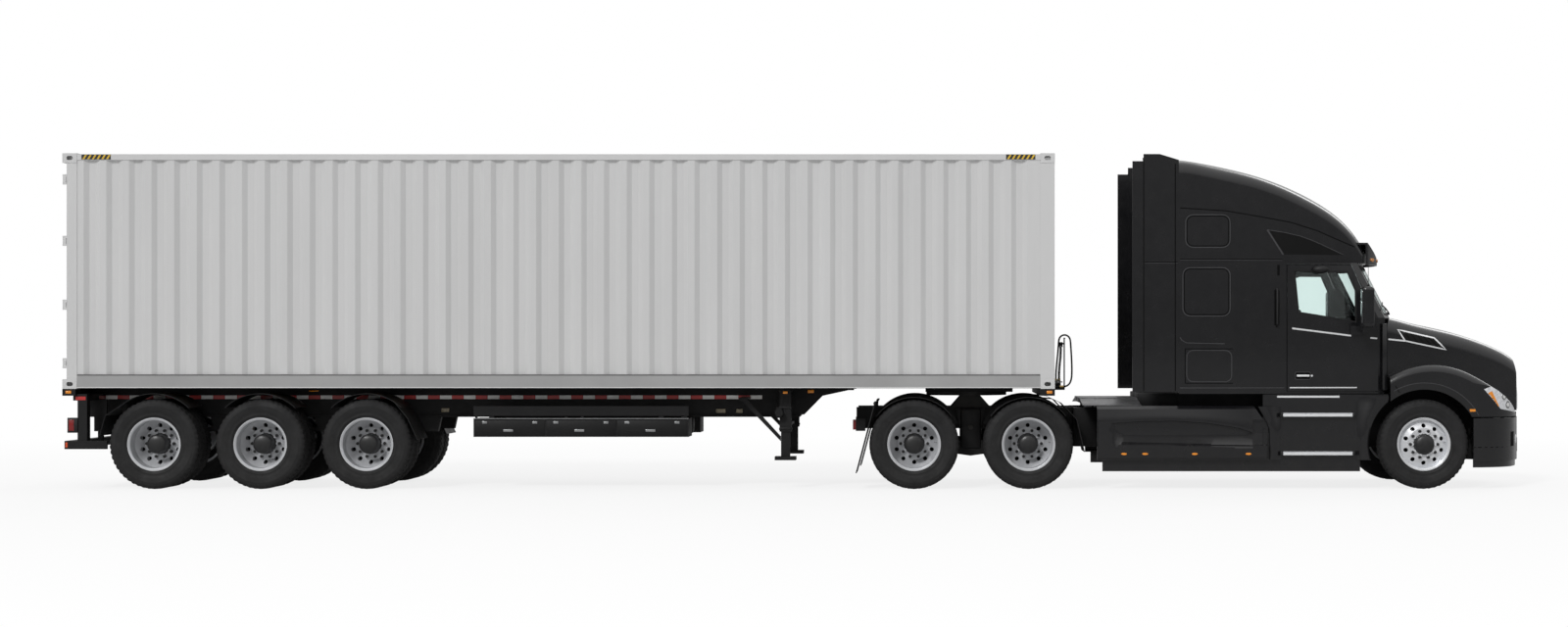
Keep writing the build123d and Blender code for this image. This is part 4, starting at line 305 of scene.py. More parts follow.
def lay_floor():
    """The floor below the truck."""
    mesh = bpy.data.meshes.new("floor")
    work = bmesh.new()
    bmesh.ops.create_grid(work, x_segments=2, y_segments=2, size=260)
    work.to_mesh(mesh)
    work.free()
    floor = bpy.data.objects.new("floor", mesh)
    floor.location = (0, 0, cad_box[0][2])
    bpy.context.scene.collection.objects.link(floor)
    mesh.materials.append(floor_material())


def surround():
    """A white surround that mirrors in the paint as a sky, darker towards the horizon."""
    world = bpy.data.worlds.new("surround")
    bpy.context.scene.world = world
    world.use_nodes = True
    tree = world.node_tree
    path = add_node(tree, "LightPath", {}).outputs
    height = axes_of(tree, add_node(tree, "TexCoord", {}).outputs["Generated"])["Z"]
    mirrored_sky = maths(tree, "ADD", map_range(tree, height, 0.0, 0.26, 0.09, 0.65),
                         map_range(tree, height, 0.35, 0.95, 0.0, 0.35))
    seen = maths(tree, "MAXIMUM", path["Is Camera Ray"], path["Is Transmission Ray"])
    plain = map_range(tree, seen, 0, 1, 0.5, 1.0)
    only_glossy = maths(tree, "MAXIMUM", maths(tree, "SUBTRACT", path["Is Glossy Ray"], seen), 0.0)
    mirrored = maths(tree, "MULTIPLY", only_glossy, maths(tree, "SUBTRACT", mirrored_sky, 0.5))
    set_inputs(tree, node_of(tree, "BACKGROUND"), {"Color": (1, 1, 1),
                                                   "Strength": maths(tree, "ADD", plain, mirrored)})


def lights():
    """Plain soft light from ahead and a little from behind."""
    for name, strength, turn, size in (("key", 1.5, (52, 0, -28), 12), ("fill", 0.35, (60, 0, 150), 25)):
        light = bpy.data.lights.new(name, "SUN")
        light.energy = strength
        light.angle = math.radians(size)
        lamp = bpy.data.objects.new(name, light)
        lamp.rotation_euler = [math.radians(part) for part in turn]
        bpy.context.scene.collection.objects.link(lamp)


def camera():
    """The photograph's view: square on to the truck's right side from 30 m off."""
    data = bpy.data.cameras.new("camera")
    data.lens = 56.08
    data.sensor_width = 36
    data.shift_x = -0.09375
    data.shift_y = 0.01875
    thing = bpy.data.objects.new("camera", data)
    thing.location = (1.6175, -31.219, 1.80)
    thing.rotation_euler = (math.radians(90), 0, 0)
    bpy.context.scene.collection.objects.link(thing)
    bpy.context.scene.camera = thing


bpy.context.scene.view_settings.view_transform = "Standard"
lay_floor()
surround()
lights()
camera()


# ---------------------------------------------------------------- places
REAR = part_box("container_frame")[0][0]            # X of the container's rear face
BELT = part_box("windshield")[0][2] - 0.045         # foot of the windscreen
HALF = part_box("container_frame")[1][1]            # half the container's width
TRAILER_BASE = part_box("container_frame")[0][2]    # underside of the container
SIDES = (("_r", -1), ("_l", 1))                   # each side's ending in names and the sign of its Y
BESIDE = 1.6                                      # Y from which patches are dropped onto a side
BACKWARD = Vector((-1, 0, 0))
LEGS = 8.866                                      # landing gear, ahead of the container's rear face
SLEEPER_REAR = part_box("cab_shell")[0][0]


def at(ahead):
    """X of a place this far ahead of the container's rear face."""
    return REAR + ahead


def centre_of(node):
    """X and Z of the middle of a node's box."""
    low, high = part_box(node)
    return (low[0] + high[0]) / 2, (low[2] + high[2]) / 2


FRONT_AXLE, AXLE_HEIGHT = centre_of("tyre_front_r")


def polar(radius, degrees, centre=(0, 0)):
    """A point on a circle."""
    angle = math.radians(degrees)
    return centre[0] + radius * math.cos(angle), centre[1] + radius * math.sin(angle)


# ---------------------------------------------------------------- the CAD's faces
targets = []


def aim(*names):
    """The CAD nodes that patches are laid on from now on."""
    targets[:] = names


def surface_under(point, towards):
    """Where a line from a point first meets the CAD."""
    best = None
    for name in targets:
        met, place, _, _ = nodes[name].ray_cast(point, towards, distance=3)
        if met and (best is None or (place - point).length < (best - point).length):
            best = place
    return best if best is not None else point + towards * 0.5


def outside(side, x, height):
    """Where the CAD's outer face lies on one side of the truck."""
    return surface_under(Vector((x, side * BESIDE, height)), Vector((0, -side, 0)))


def front_face(ahead, y, height):
    """Where the CAD's front face lies behind a place ahead of it."""
    return surface_under(Vector((at(ahead), y, height)), BACKWARD)


# ---------------------------------------------------------------- building pieces
def bridge(part, first, second, closed=False):
    """Faces between two rows of vertices."""
    for index in range(len(first) if closed else len(first) - 1):
        after = (index + 1) % len(first)
        part.faces.new((first[index], first[after], second[after], second[index]))


def loft(part, rings):
    """Walls between closed rings of vertices, and a face over each end."""
    for first, second in zip(rings, rings[1:]):
        bridge(part, first, second, closed=True)
    part.faces.new(rings[0])
    part.faces.new(rings[-1])


def place_part(part, turn, centre):
    """Turn a part about the origin, then move it to its centre."""
    if turn:
        bmesh.ops.rotate(part, verts=part.verts, cent=(0, 0, 0), matrix=turn)
    bmesh.ops.translate(part, verts=part.verts, vec=centre)


class Piece:
    """A mesh put together from simple parts, each with its own material."""

    def __init__(self, name, body):
        self.name = name
        self.body = body
        self.work = bmesh.new()
        self.materials = []

    def add(self, part, material):
        """Take over a part's faces in one material."""
        if material not in self.materials:
            self.materials.append(material)
        for face in part.faces:
            face.material_index = self.materials.index(material)
        mesh = bpy.data.meshes.new("part")
        part.to_mesh(mesh)
        part.free()
        self.work.from_mesh(mesh)
        bpy.data.meshes.remove(mesh)

    def box(self, low, high, material, bevel=0.0, turn=None):
        """A box between two corners, with its edges rounded."""
        part = bmesh.new()
        low, high = Vector(low), Vector(high)
        size = Vector([abs(value) for value in high - low])
        bmesh.ops.create_cube(part, size=1, matrix=Matrix.Diagonal((*size, 1)))
        if bevel:
            bmesh.ops.bevel(part, geom=part.edges[:], offset=min(bevel, min(size) * 0.45), segments=2,
                            affect="EDGES", profile=0.5)
        place_part(part, turn, (low + high) / 2)
        self.add(part, material)

    def side_box(self, side, ahead, out, heights, material, bevel=0.0, turn=None):
        """A box on one side of the truck, by its spans ahead, out from the middle and in height."""
        low, high = [(at(ahead[end]), side * out[end], heights[end]) for end in (0, 1)]
        self.box(low, high, material, bevel, turn)

    def rod(self, start, end, radius, material, sides=16, tip=None, bevel=0.0):
        """A round bar between two points, or a cone when tip is its other radius."""
        part = bmesh.new()
        start, end = Vector(start), Vector(end)
        bmesh.ops.create_cone(part, cap_ends=True, segments=sides, radius1=radius,
                              radius2=radius if tip is None else tip, depth=(end - start).length)
        if bevel:
            rims = [edge for edge in part.edges if len({round(v.co.z, 5) for v in edge.verts}) == 1]
            bmesh.ops.bevel(part, geom=rims, offset=bevel, segments=2, affect="EDGES", profile=0.5)
        place_part(part, (end - start).to_track_quat("Z", "Y").to_matrix(), (start + end) / 2)
        self.add(part, material)

    def ball(self, centre, radii, material, rows=8):
        """An ellipsoid."""
        part = bmesh.new()
        bmesh.ops.create_uvsphere(part, u_segments=rows * 2, v_segments=rows, radius=1,
                                  matrix=Matrix.Translation(centre) @ Matrix.Diagonal((*radii, 1)))
        self.add(part, material)

    def lathe(self, x, z, profile, material, segments, middle=0.0, closed=False, wave=None):
        """A body turned about a line along Y from (radius, y) points; a wave may change a step's radius."""
        part = bmesh.new()
        rings = []
        for step in range(segments):
            ring = []
            for radius, y in profile:
                turned = wave(step, radius, y) if wave else radius
                rim_x, rim_z = polar(turned, 360 * step / segments, (x, z))
                ring.append(part.verts.new((rim_x, middle + y, rim_z)))
            rings.append(ring)
        for first, second in zip(rings, rings[1:] + rings[:1]):
            bridge(part, first, second, closed)
        bmesh.ops.remove_doubles(part, verts=part.verts, dist=0.00001)
        self.add(part, material)

    def sector(self, centre, inner, outer, y, thick, start, end, material):
        """A flat ring sector square to Y, between two angles in degrees from straight ahead."""
        part = bmesh.new()
        section = ((inner, y), (outer, y), (outer, y + thick), (inner, y + thick))
        rings = []
        steps = 28
        for step in range(steps + 1):
            ring = []
            for radius, level in section:
                x, z = polar(radius, start + (end - start) * step / steps, centre)
                ring.append(part.verts.new((x, level, z)))
            rings.append(ring)
        loft(part, rings)
        self.add(part, material)

    def tube(self, points, radius, material, sides=8):
        """A round bar along a line of points."""
        part = bmesh.new()
        points = [Vector(point) for point in points]
        section = [polar(1, 360 * step / sides) for step in range(sides)]
        side = Vector((0.31, 0.89, 0.33))
        rings = []
        for index, point in enumerate(points):
            ahead = (points[min(index + 1, len(points) - 1)] - points[max(index - 1, 0)]).normalized()
            side = (side - ahead * side.dot(ahead)).normalized()
            other = ahead.cross(side)
            rings.append([part.verts.new(point + (side * a + other * b) * radius) for a, b in section])
        loft(part, rings)
        self.add(part, material)

    def patch(self, rows, towards, material, lift=0.002, sink=0.004):
        """A thin plate laid on the CAD: rows of start points are dropped along a direction onto it."""
        towards = Vector(towards).normalized()
        met = [[surface_under(Vector(point), towards) for point in row] for row in rows]
        self.skin(met, towards, material, lift, sink)

    def skin(self, rows, towards, material, lift=0.0, sink=0.03):
        """A plate over rows of points: its face is lifted off them and its back lies behind them."""
        part = bmesh.new()
        towards = Vector(towards)
        top, low = [[[part.verts.new(point + towards * shift) for point in row] for row in rows]
                    for shift in (-lift, sink)]
        for grid in (top, low):
            for first, second in zip(grid, grid[1:]):
                bridge(part, first, second)
        last, end = len(rows) - 1, len(rows[0]) - 1
        rim = [(0, i) for i in range(end)] + [(i, end) for i in range(last)]
        rim += [(last, i) for i in range(end, 0, -1)] + [(i, 0) for i in range(last, 0, -1)]
        for (i, j), (k, m) in zip(rim, rim[1:] + rim[:1]):
            part.faces.new((top[i][j], top[k][m], low[k][m], low[i][j]))
        self.add(part, material)

    def done(self, stands_for=(), sharp=38):
        """Make the object, let it ride on its body and hide the CAD parts it stands for."""
        bmesh.ops.recalc_face_normals(self.work, faces=self.work.faces)
        mesh = bpy.data.meshes.new(self.name)
        self.work.to_mesh(mesh)
        self.work.free()
        for material in self.materials:
            mesh.materials.append(material)
        mesh.polygons.foreach_set("use_smooth", [True] * len(mesh.polygons))
        mesh.set_sharp_from_angle(angle=math.radians(sharp))
        thing = bpy.data.objects.new(self.name, mesh)
        bpy.context.scene.collection.objects.link(thing)
        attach(thing, self.body)
        if stands_for:
            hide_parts(*stands_for)
        return thing


# ---------------------------------------------------------------- rows of start points for patches
def band(line, width, up=(0, 0, 1), closed=False):
    """A ribbon of one width along a line of points."""
    points = [Vector(point) for point in line]
    if closed:
        points.append(points[0])
    dense = [points[0]]
    step = 0.08
    for first, second in zip(points, points[1:]):
        count = max(1, round((second - first).length / step))
        dense += [first.lerp(second, (index + 1) / count) for index in range(count)]
    before = [dense[-2] if closed else dense[0]] + dense[:-1]
    after = dense[1:] + [dense[1] if closed else dense[-1]]
    left, right = [], []
    for point, behind, ahead in zip(dense, before, after):
        across = (ahead - behind).cross(Vector(up)).normalized() * (width / 2)
        left.append(point + across)
        right.append(point - across)
    return [left, right]


def sheet_rows(corners, across=6, down=6):
    """A four-cornered plate: corners in turn around it."""
    a, b, c, d = [Vector(corner) for corner in corners]
    return [[a.lerp(b, i / across).lerp(d.lerp(c, i / across), j / down) for i in range(across + 1)]
            for j in range(down + 1)]


def disc_rows(centre, first, second, rings=2, spokes=24):
    """A round plate, given two radius vectors."""
    centre, first, second = Vector(centre), Vector(first), Vector(second)
    rows = []
    for ring in range(rings + 1):
        turns = [polar(max(0.02, ring / rings), 360 * step / spokes) for step in range(spokes + 1)]
        rows.append([centre + first * a + second * b for a, b in turns])
    return rows


def on_side(side, points):
    """Start points beside the truck, for (ahead, height) pairs."""
    return [(at(ahead), side * BESIDE, height) for ahead, height in points]


def ahead_of(ahead, points):
    """Start points in front of the truck, for (y, height) pairs."""
    return [(at(ahead), y, height) for y, height in points]


def oblong(x0, x1, z0, z1):
    """A rectangle's corners in turn."""
    return ((x0, z0), (x1, z0), (x1, z1), (x0, z1))


def rounded(x0, x1, z0, z1, radius):
    """A rounded rectangle as (ahead, height) points."""
    steps = 5
    corners = ((x1 - radius, z1 - radius), (x0 + radius, z1 - radius), (x0 + radius, z0 + radius),
               (x1 - radius, z0 + radius))
    return [polar(radius, 90 * (turn + step / steps), corner)
            for turn, corner in enumerate(corners) for step in range(steps + 1)]


def plate_on(made, side, corners, material, lift=0.002, across=6, down=6):
    """A thin plate on the truck's side."""
    made.patch(sheet_rows(on_side(side, corners), across, down), (0, -side, 0), material, lift)


def outlined(made, side, points, width, material, lift=0.0015):
    """A closed ribbon round an outline on the truck's side."""
    made.patch(band(on_side(side, points), width, (0, 1, 0), closed=True), (0, -side, 0), material, lift)


def strips(made, side, *rows):
    """Ribbons on the truck's side, each a width, a material, a lift and (ahead, height) points."""
    for width, material, lift, *points in rows:
        made.patch(band(on_side(side, points), width, (0, 1, 0)), (0, -side, 0), material, lift)


def frame_round(made, corners, width, material, lift):
    """A closed ribbon on a front face."""
    made.patch(band(corners, width, (1, 0, 0), closed=True), BACKWARD, material, lift)


# ---------------------------------------------------------------- wheels
SETS = ("front", "drive1", "drive2", "trailer1", "trailer2", "trailer3")
TYRE_HALF = 0.1395
RIB_EDGES = (0.066, 0.024)                        # the tread's grooves, from its middle
GROOVE = 0.011
STUD_CIRCLE = 0.1675                              # radius of the wheel nuts' circle
LUGS = 3                                          # angular steps from one shoulder lug to the next
WALL = ((0.309, 0.1035), (0.318, 0.1085), (0.338, 0.116), (0.356, 0.1225), (0.360, 0.1255), (0.366, 0.1255),
        (0.370, 0.1235), (0.400, 0.1325), (0.431, 0.1380), (0.462, 0.1378), (0.468, 0.1390), (0.474, 0.1390),
        (0.480, 0.1372), (0.500, 0.1335), (0.512, 0.1310), (0.528, 0.1220), (0.541, 0.1120), (0.5490, 0.1010))
HUB_DOME = ((0.119, -0.024), (0.114, -0.004), (0.101, 0.008), (0.078, 0.017), (0.045, 0.023), (0.0001, 0.025))


def tyre_profile(side):
    """A tyre's outline as (radius, y) points; the sidewalls carry fine rings."""
    half = [*WALL, (0.5510, 0.0940)]
    for edge in RIB_EDGES:
        half += [(0.5515, edge + GROOVE / 2), (0.5380, edge + GROOVE / 2 - 0.001),
                 (0.5380, edge - GROOVE / 2 + 0.001), (0.5515, edge - GROOVE / 2)]
    return [(radius, side * y) for radius, y in half] + [(radius, -side * y) for radius, y in reversed(half)]


def lugged(step, radius, y):
    """The tread's radius: shoulder lugs and narrow cuts across the ribs."""
    if radius > 0.52 and abs(y) > 0.071:
        return radius - (0.011 if step % LUGS == 0 else 0.0)
    if radius > 0.5505 and abs(y) < 0.062:
        return radius - (0.006 if step % (2 * LUGS) == 1 else 0.0)
    return radius


def tyres():
    """Treaded tyres in place of the plain ones."""
    for name in SETS:
        for tag, side in SIDES:
            node = "tyre_" + name + tag
            low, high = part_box(node)
            made = Piece("tread_" + name + tag, "wheel_" + name + tag)
            for middle in sorted({round(low[1] + TYRE_HALF, 4), round(high[1] - TYRE_HALF, 4)}):
                made.lathe(*centre_of(node), tyre_profile(side), tyre_rubber, 150, middle, wave=lugged)
            made.done([node], sharp=50)


def wheel_trim():
    """Hub covers, wheel nuts, a black plate behind each disc that paints the shade seen through its hand
    holes, valves and rim flanges.
    """
    for name in SETS:
        for tag, side in SIDES:
            aim("rim_" + name + tag)
            x, z = centre_of("rim_" + name + tag)
            face = outside(side, x, z).y
            disc = outside(side, x + 0.118, z).y
            lip = outside(side, x, z + 0.322).y
            made = Piece("hub_cover_" + name + tag, "wheel_" + name + tag)
            cover = [(0.129, disc), (0.129, disc + side * 0.014), (0.119, disc + side * 0.02)]
            cover += [(radius, face + side * out) for radius, out in HUB_DOME]
            made.lathe(x, z, cover, hub_black, 40)
            # Painted shade: a black ring behind the disc, so the hand holes show dark.
            back = disc - side * (0.105 if name == "front" else 0.125)
            plate = [(0.190, back), (0.284, back), (0.284, back - side * 0.004), (0.190, back - side * 0.004)]
            made.lathe(x, z, plate, shade_sheet_black, 40, closed=True)
            for index in range(10):
                stud_x, stud_z = polar(STUD_CIRCLE, 36 * index, (x, z))
                made.rod((stud_x, disc - side * 0.002, stud_z), (stud_x, disc + side * 0.031, stud_z), 0.0205,
                         hub_black, 6)
            stem = outside(side, x + 0.275, z + 0.02)
            made.rod(stem, stem + Vector((-0.025, side * 0.035, 0)), 0.0045, steel, 8)
            flange = [(0.316, lip - side * 0.004), (0.3200, lip + side * 0.0010),
                      (0.3260, lip + side * 0.0012), (0.3290, lip - side * 0.003)]
            made.lathe(x, z, flange, wheel_polished, 72)
            made.done()


# ---------------------------------------------------------------- container
def container_marks(tag, side):
    """Hazard stripes at both ends of the top rail, and the bottom rail's two edges: a painted highlight along
    its foot and a painted shadow along its top.
    """
    made = Piece("container_marks" + tag, "trailer")
    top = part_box("container_frame")[1][2]
    face = HALF - 0.004
    for start in (0.235, 11.592):
        made.side_box(side, (start, start + 0.36), (face, face + 0.0012), (top - 0.078, top - 0.016),
                      hazard_black)
        for index in range(6):
            x = at(start + 0.012 + index * 0.058)
            stripe = bmesh.new()
            corners = ((0, 0.074), (0.024, 0.074), (0.056, 0.020), (0.032, 0.020))
            stripe.faces.new([stripe.verts.new((x + across, side * (face + 0.0020), top - below))
                              for across, below in corners])
            made.add(stripe, hazard_yellow)
    rail = TRAILER_BASE + 0.013
    # The bottom rail's edges: a lighter strip paints the highlight on its lower lip, a dark strip paints the
    # shadow along its top.
    for inner, outer, low, high, material in ((0.006, 0.0005, -0.002, 0.008, rail_lip_highlight),
                                              (0.0055, 0.0025, 0.150, 0.164, shadow_grey)):
        made.side_box(side, (0.18, 12.012), (HALF - inner, HALF - outer), (rail + low, rail + high), material)
    made.done()


def door_seals(tag, side):
    """A container door's seal, lock bar brackets and handles."""
    made = Piece("door_seals" + tag, "container_door" + tag)
    low, high = [corner[2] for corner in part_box("container_door" + tag)]
    hinge, middle = HALF - 0.070, 0.006
    for out, heights in (((hinge - 0.018, hinge), (low + 0.006, high - 0.006)),
                         ((middle, middle + 0.018), (low + 0.006, high - 0.006)),
                         ((middle, hinge), (low + 0.003, low + 0.020)),
                         ((middle, hinge), (high - 0.020, high - 0.003))):
        made.side_box(side, (0.0435, 0.052), out, heights, rubber)
    bar, grip = at(0.016), low + 1.074
    for y in (0.330, 0.780):
        for z in (low + 0.015, high - 0.045):
            made.side_box(side, (0.012, 0.046), (y - 0.028, y + 0.028), (z, z + 0.03), steel, 0.004)
        made.rod((bar, side * (y - 0.02), grip), (bar, side * (y - 0.262), grip), 0.009, steel, 10)
    made.done()


# ---------------------------------------------------------------- trailer
BEAM = 0.525                                      # Y of the main beams' outer faces


def trailer_tape(tag, side):
    """Red and white reflecting tape along the beam, and an orange reflector at the rear."""
    made = Piece("trailer_tape" + tag, "trailer")
    start, end, length = 0.15, 8.70, 0.15
    for index in range(int((end - start) / length)):
        x = start + index * length
        made.side_box(side, (x, x + length * 0.985), (BEAM, BEAM + 0.0012), (1.094, 1.140),
                      tape_white if index % 2 else tape_red)
    aim("chassis_frame", "trailer_fenders")
    plate_on(made, side, oblong(0.15, 0.298, 1.096, 1.139), tape_red, 0.0015)
    made.side_box(side, (0.03, 0.058), (HALF - 0.021, HALF - 0.0175), (0.515, 0.575), lens_orange, 0.001)
    made.done()


def trailer_markers(tag, side):
    """The lamps on the trailer's side and at its rear."""
    made = Piece("trailer_markers" + tag, "trailer")
    for ahead, y, z, size, tall, material in (
            (2.92, BEAM, 1.195, 0.12, 0.016, lens_amber), (4.57, BEAM, 0.955, 0.10, 0.05, lens_dull),
            (8.03, BEAM, 0.945, 0.12, 0.05, lens_dull), (8.265, BEAM, 0.945, 0.08, 0.05, lens_dull),
            (9.16, BEAM + 0.005, 1.19, 0.08, 0.04, lens_amber), (LEGS, 0.965, 1.185, 0.06, 0.03, lens_amber)):
        made.side_box(side, (ahead - size / 2, ahead + size / 2), (y, y + 0.022),
                      (z - tall / 2, z + tall / 2), material, 0.006)
    for ahead in (0.075, 12.125):
        made.side_box(side, (ahead - 0.035, ahead + 0.035), (HALF - 0.006, HALF + 0.01), (1.176, 1.212),
                      lens_amber, 0.006)
    for y in (1.10, 0.14, 0.0):
        made.side_box(side, (-0.001, 0.006), (y - 0.04, y + 0.04), (1.178, 1.212), lens_red, 0.004)
    for index, material in enumerate((lens_red, lens_amber, lens_clear)):
        z = 0.725 + index * 0.058
        made.side_box(side, (0.051, 0.056), (1.075, 1.175), (z - 0.024, z + 0.024), material, 0.004)
    low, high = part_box("trailer_lamps")
    wall = side * (high[1] - 0.001)
    made.box((low[0] - 0.001, wall, low[2] - 0.003), (high[0] + 0.003, wall + side * 0.004, high[2] + 0.003),
             trim_plastic, 0.002)
    made.box((low[0] + 0.016, wall, low[2] + 0.022), (high[0] - 0.040, wall + side * 0.006, high[2] - 0.022),
             lens_red, 0.002)
    made.done()


def flap_bracket(tag, side):
    """The rear mud flap's holder."""
    made = Piece("flap_bracket" + tag, "trailer")
    made.side_box(side, (0.26, 0.42), (0.80, 0.84), (0.70, 1.10), chassis_paint, 0.004)
    made.side_box(side, (0.31, 0.37), (0.79, 0.85), (0.53, 0.72), chassis_paint, 0.004)
    made.done()


def landing_trim(tag, side):
    """A landing leg's collars and the boss on its outside."""
    made = Piece("landing_trim" + tag, "trailer")
    hub = at(LEGS) - 0.075
    made.rod((hub, side * 1.010, 0.935), (hub, side * 1.05, 0.935), 0.05, chassis_paint)
    for z in (0.72, 0.98, 1.19):
        made.side_box(side, (LEGS - 0.078, LEGS + 0.078), (0.829, 0.971), (z, z + 0.03), chassis_paint, 0.004)
    made.done()


def side_box_trim(tag, side):
    """Three lids with latches and grips on the long side box, and the rail and hooks over them."""
    made = Piece("side_box_trim" + tag, "trailer")
    rear, front, face = 5.01, 7.67, 1.0
    lid = face + 0.006
    gap, count = 0.02, 3
    pitch = (front - rear - gap) / count
    for index in range(count):
        left = rear + gap + index * pitch
        right = left + pitch - gap
        made.side_box(side, (left, right), (face, lid), (0.652, 0.838), chassis_paint, 0.003)
        for x in (left + 0.12, right - 0.12):
            made.side_box(side, (x - 0.03, x + 0.03), (lid, face + 0.014), (0.80, 0.83), steel, 0.003)
        made.side_box(side, (left + 0.35, left + 0.47), (lid, face + 0.012), (0.70, 0.73), steel, 0.003)
    made.side_box(side, (rear, front), (face - 0.004, face + 0.004), (0.860, 0.868), steel)
    for x in (rear + 0.02, (rear + front) / 2, front - 0.05):
        made.side_box(side, (x, x + 0.03), (face - 0.012, face), (0.862, 0.90), chassis_paint)
    made.done()


def brake_chambers(tag, side):
    """A brake chamber with its pushrod, holder and lever at every trailer wheel."""
    made = Piece("brake_chambers" + tag, "trailer")
    y = side * 0.37
    for name in SETS[3:]:
        x = centre_of("tyre_" + name + tag)[0]
        start = Vector((x - 0.10, y, 0.66))
        made.rod(start, start + Vector((-0.19, 0, 0.03)), 0.085, chassis_paint, 20, bevel=0.01)
        made.rod(start, start + Vector((0.13, 0, -0.06)), 0.012, steel, 8)
        made.box((x - 0.11, y - 0.04, 0.56), (x - 0.09, y + 0.04, 0.70), chassis_paint)
        made.box((x - 0.11, y - 0.03, 0.56), (x + 0.02, y + 0.03, 0.60), chassis_paint)
        made.rod((x + 0.03, y, 0.602), (x + 0.03, side * 0.58, 0.602), 0.016, steel, 10)
    made.done()


def air_tanks():
    """Two air tanks hung between the beams."""
    made = Piece("air_tanks", "trailer")
    for start, end, tie in ((5.65, 6.45, 6.01), (7.05, 7.64, 7.49)):
        made.rod((at(start), 0, 0.76), (at(end), 0, 0.76), 0.115, chassis_paint, 24, bevel=0.03)
        made.box((at(tie), -0.123, 0.74), (at(tie + 0.03), 0.123, 1.003), steel, 0.004)
    made.done()


def rear_bar_marks():
    """Tape along the rear bar, and a blank plate on its holder."""
    made = Piece("rear_bar_marks", "trailer")
    for index in range(14):
        y = -1.05 + index * 0.15
        made.box((at(0.0185), y, 0.525), (at(0.0205), y + 0.147, 0.563),
                 tape_white if index % 2 else tape_red)
    made.box((at(0.16), -0.46, 1.02), (at(0.172), -0.13, 1.16), chassis_paint, 0.002)
    made.box((at(0.156), -0.45, 1.03), (at(0.161), -0.14, 1.148), plate_white, 0.002)
    made.done()


# ---------------------------------------------------------------- the cab's sides
def sleeper_trim(tag, side):
    """Panel outlines of painted highlight round dark seams, seams, strips of painted highlight, a grab
    handle, and a black sheet of painted shade under the roof's overhang.
    """
    made = Piece("sleeper_trim" + tag, "tractor")
    aim("cab_shell", "roof_cap")
    inset = 0.016
    for x0, x1, z0, z1 in ((13.80, 14.345, 2.975, 3.375), (13.765, 14.345, 2.13, 2.725)):
        outlined(made, side, rounded(x0, x1, z0, z1, 0.09), 0.010, edge_highlight)
        inner = rounded(x0 + inset, x1 - inset, z0 + inset, z1 - inset, 0.076)
        outlined(made, side, inner, 0.012, seam_black)
    strips(made, side,
           (0.009, edge_highlight, 0.003, (13.73, 1.868), (13.755, 1.83), (13.81, 1.80), (14.28, 1.789)),
           (0.012, seam_black, 0.003, (13.73, 2.826), (15.0, 2.826)),
           (0.006, edge_highlight, 0.003, (13.73, 2.817), (15.0, 2.817)),
           (0.012, seam_black, 0.003, (13.73, 3.459), (14.293, 3.424), (14.732, 3.352), (15.111, 3.286),
            (15.448, 3.188), (15.713, 3.079), (15.93, 2.991)),
           (0.010, edge_highlight, 0.004, (13.73, 1.246), (15.02, 1.246)))
    plate_on(made, side, oblong(14.90, 14.96, 2.02, 2.45), seam_black, 0.0015)
    grip = at(14.93)
    wall = outside(side, grip, 2.2).y
    out = wall + side * 0.045
    line = ((grip, wall, 2.00), (grip, out, 2.03), (grip, out, 2.44), (grip, wall, 2.47))
    made.tube(line, 0.012, trim_plastic, 10)
    plate_on(made, side, oblong(14.935, 14.965, 2.63, 2.76), seam_black, 0.0015)
    # Painted shade: a black sheet under the roof's overhang, with painted highlights along its edges.
    upper = ((14.81, 3.193), (15.02, 3.163), (15.225, 3.12), (15.37, 3.071), (15.50, 3.019), (15.65, 2.953),
             (15.78, 2.897))
    count = len(upper) - 1
    lower = [(15.01 + 0.77 * index / count, 2.890) for index in range(count + 1)]
    pairs = [(Vector(head), Vector(foot)) for head, foot in zip(upper, lower)]
    rows = [on_side(side, [head.lerp(foot, share) for head, foot in pairs])
            for share in (0.0, 0.2, 0.4, 0.6, 0.8, 1.0)]
    made.patch(rows, (0, -side, 0), shade_sheet_black, 0.002)
    strips(made, side, (0.008, edge_highlight, 0.003, *upper),
           (0.02, edge_highlight, 0.003, upper[0], (14.93, 3.01), (15.01, 2.89)))
    made.done()


def extender_trim(tag, side):
    """Seams on the panel behind the sleeper, one with a strip of painted highlight along it."""
    made = Piece("extender_trim" + tag, "tractor")
    aim("side_fairings")
    strips(made, side,
           (0.012, seam_black, 0.003, (13.30, 2.790), (13.70, 2.790)),
           (0.006, edge_highlight, 0.003, (13.30, 2.781), (13.70, 2.781)),
           (0.014, seam_black, 0.003, (13.285, 1.21), (13.285, 4.08)),
           (0.012, seam_black, 0.003, (13.672, 1.21), (13.672, 4.0)))
    made.done()


def luggage_door_trim(tag, side):
    """A painted highlight round the luggage door's edge."""
    node = "luggage_door" + tag
    made = Piece("luggage_door_trim" + tag, node)
    aim(node)
    low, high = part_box(node)
    inset = 0.014
    edge = rounded(low[0] - REAR + inset, high[0] - REAR - inset, low[2] + inset, high[2] - inset, 0.08)
    outlined(made, side, edge, 0.009, edge_highlight)
    made.done()


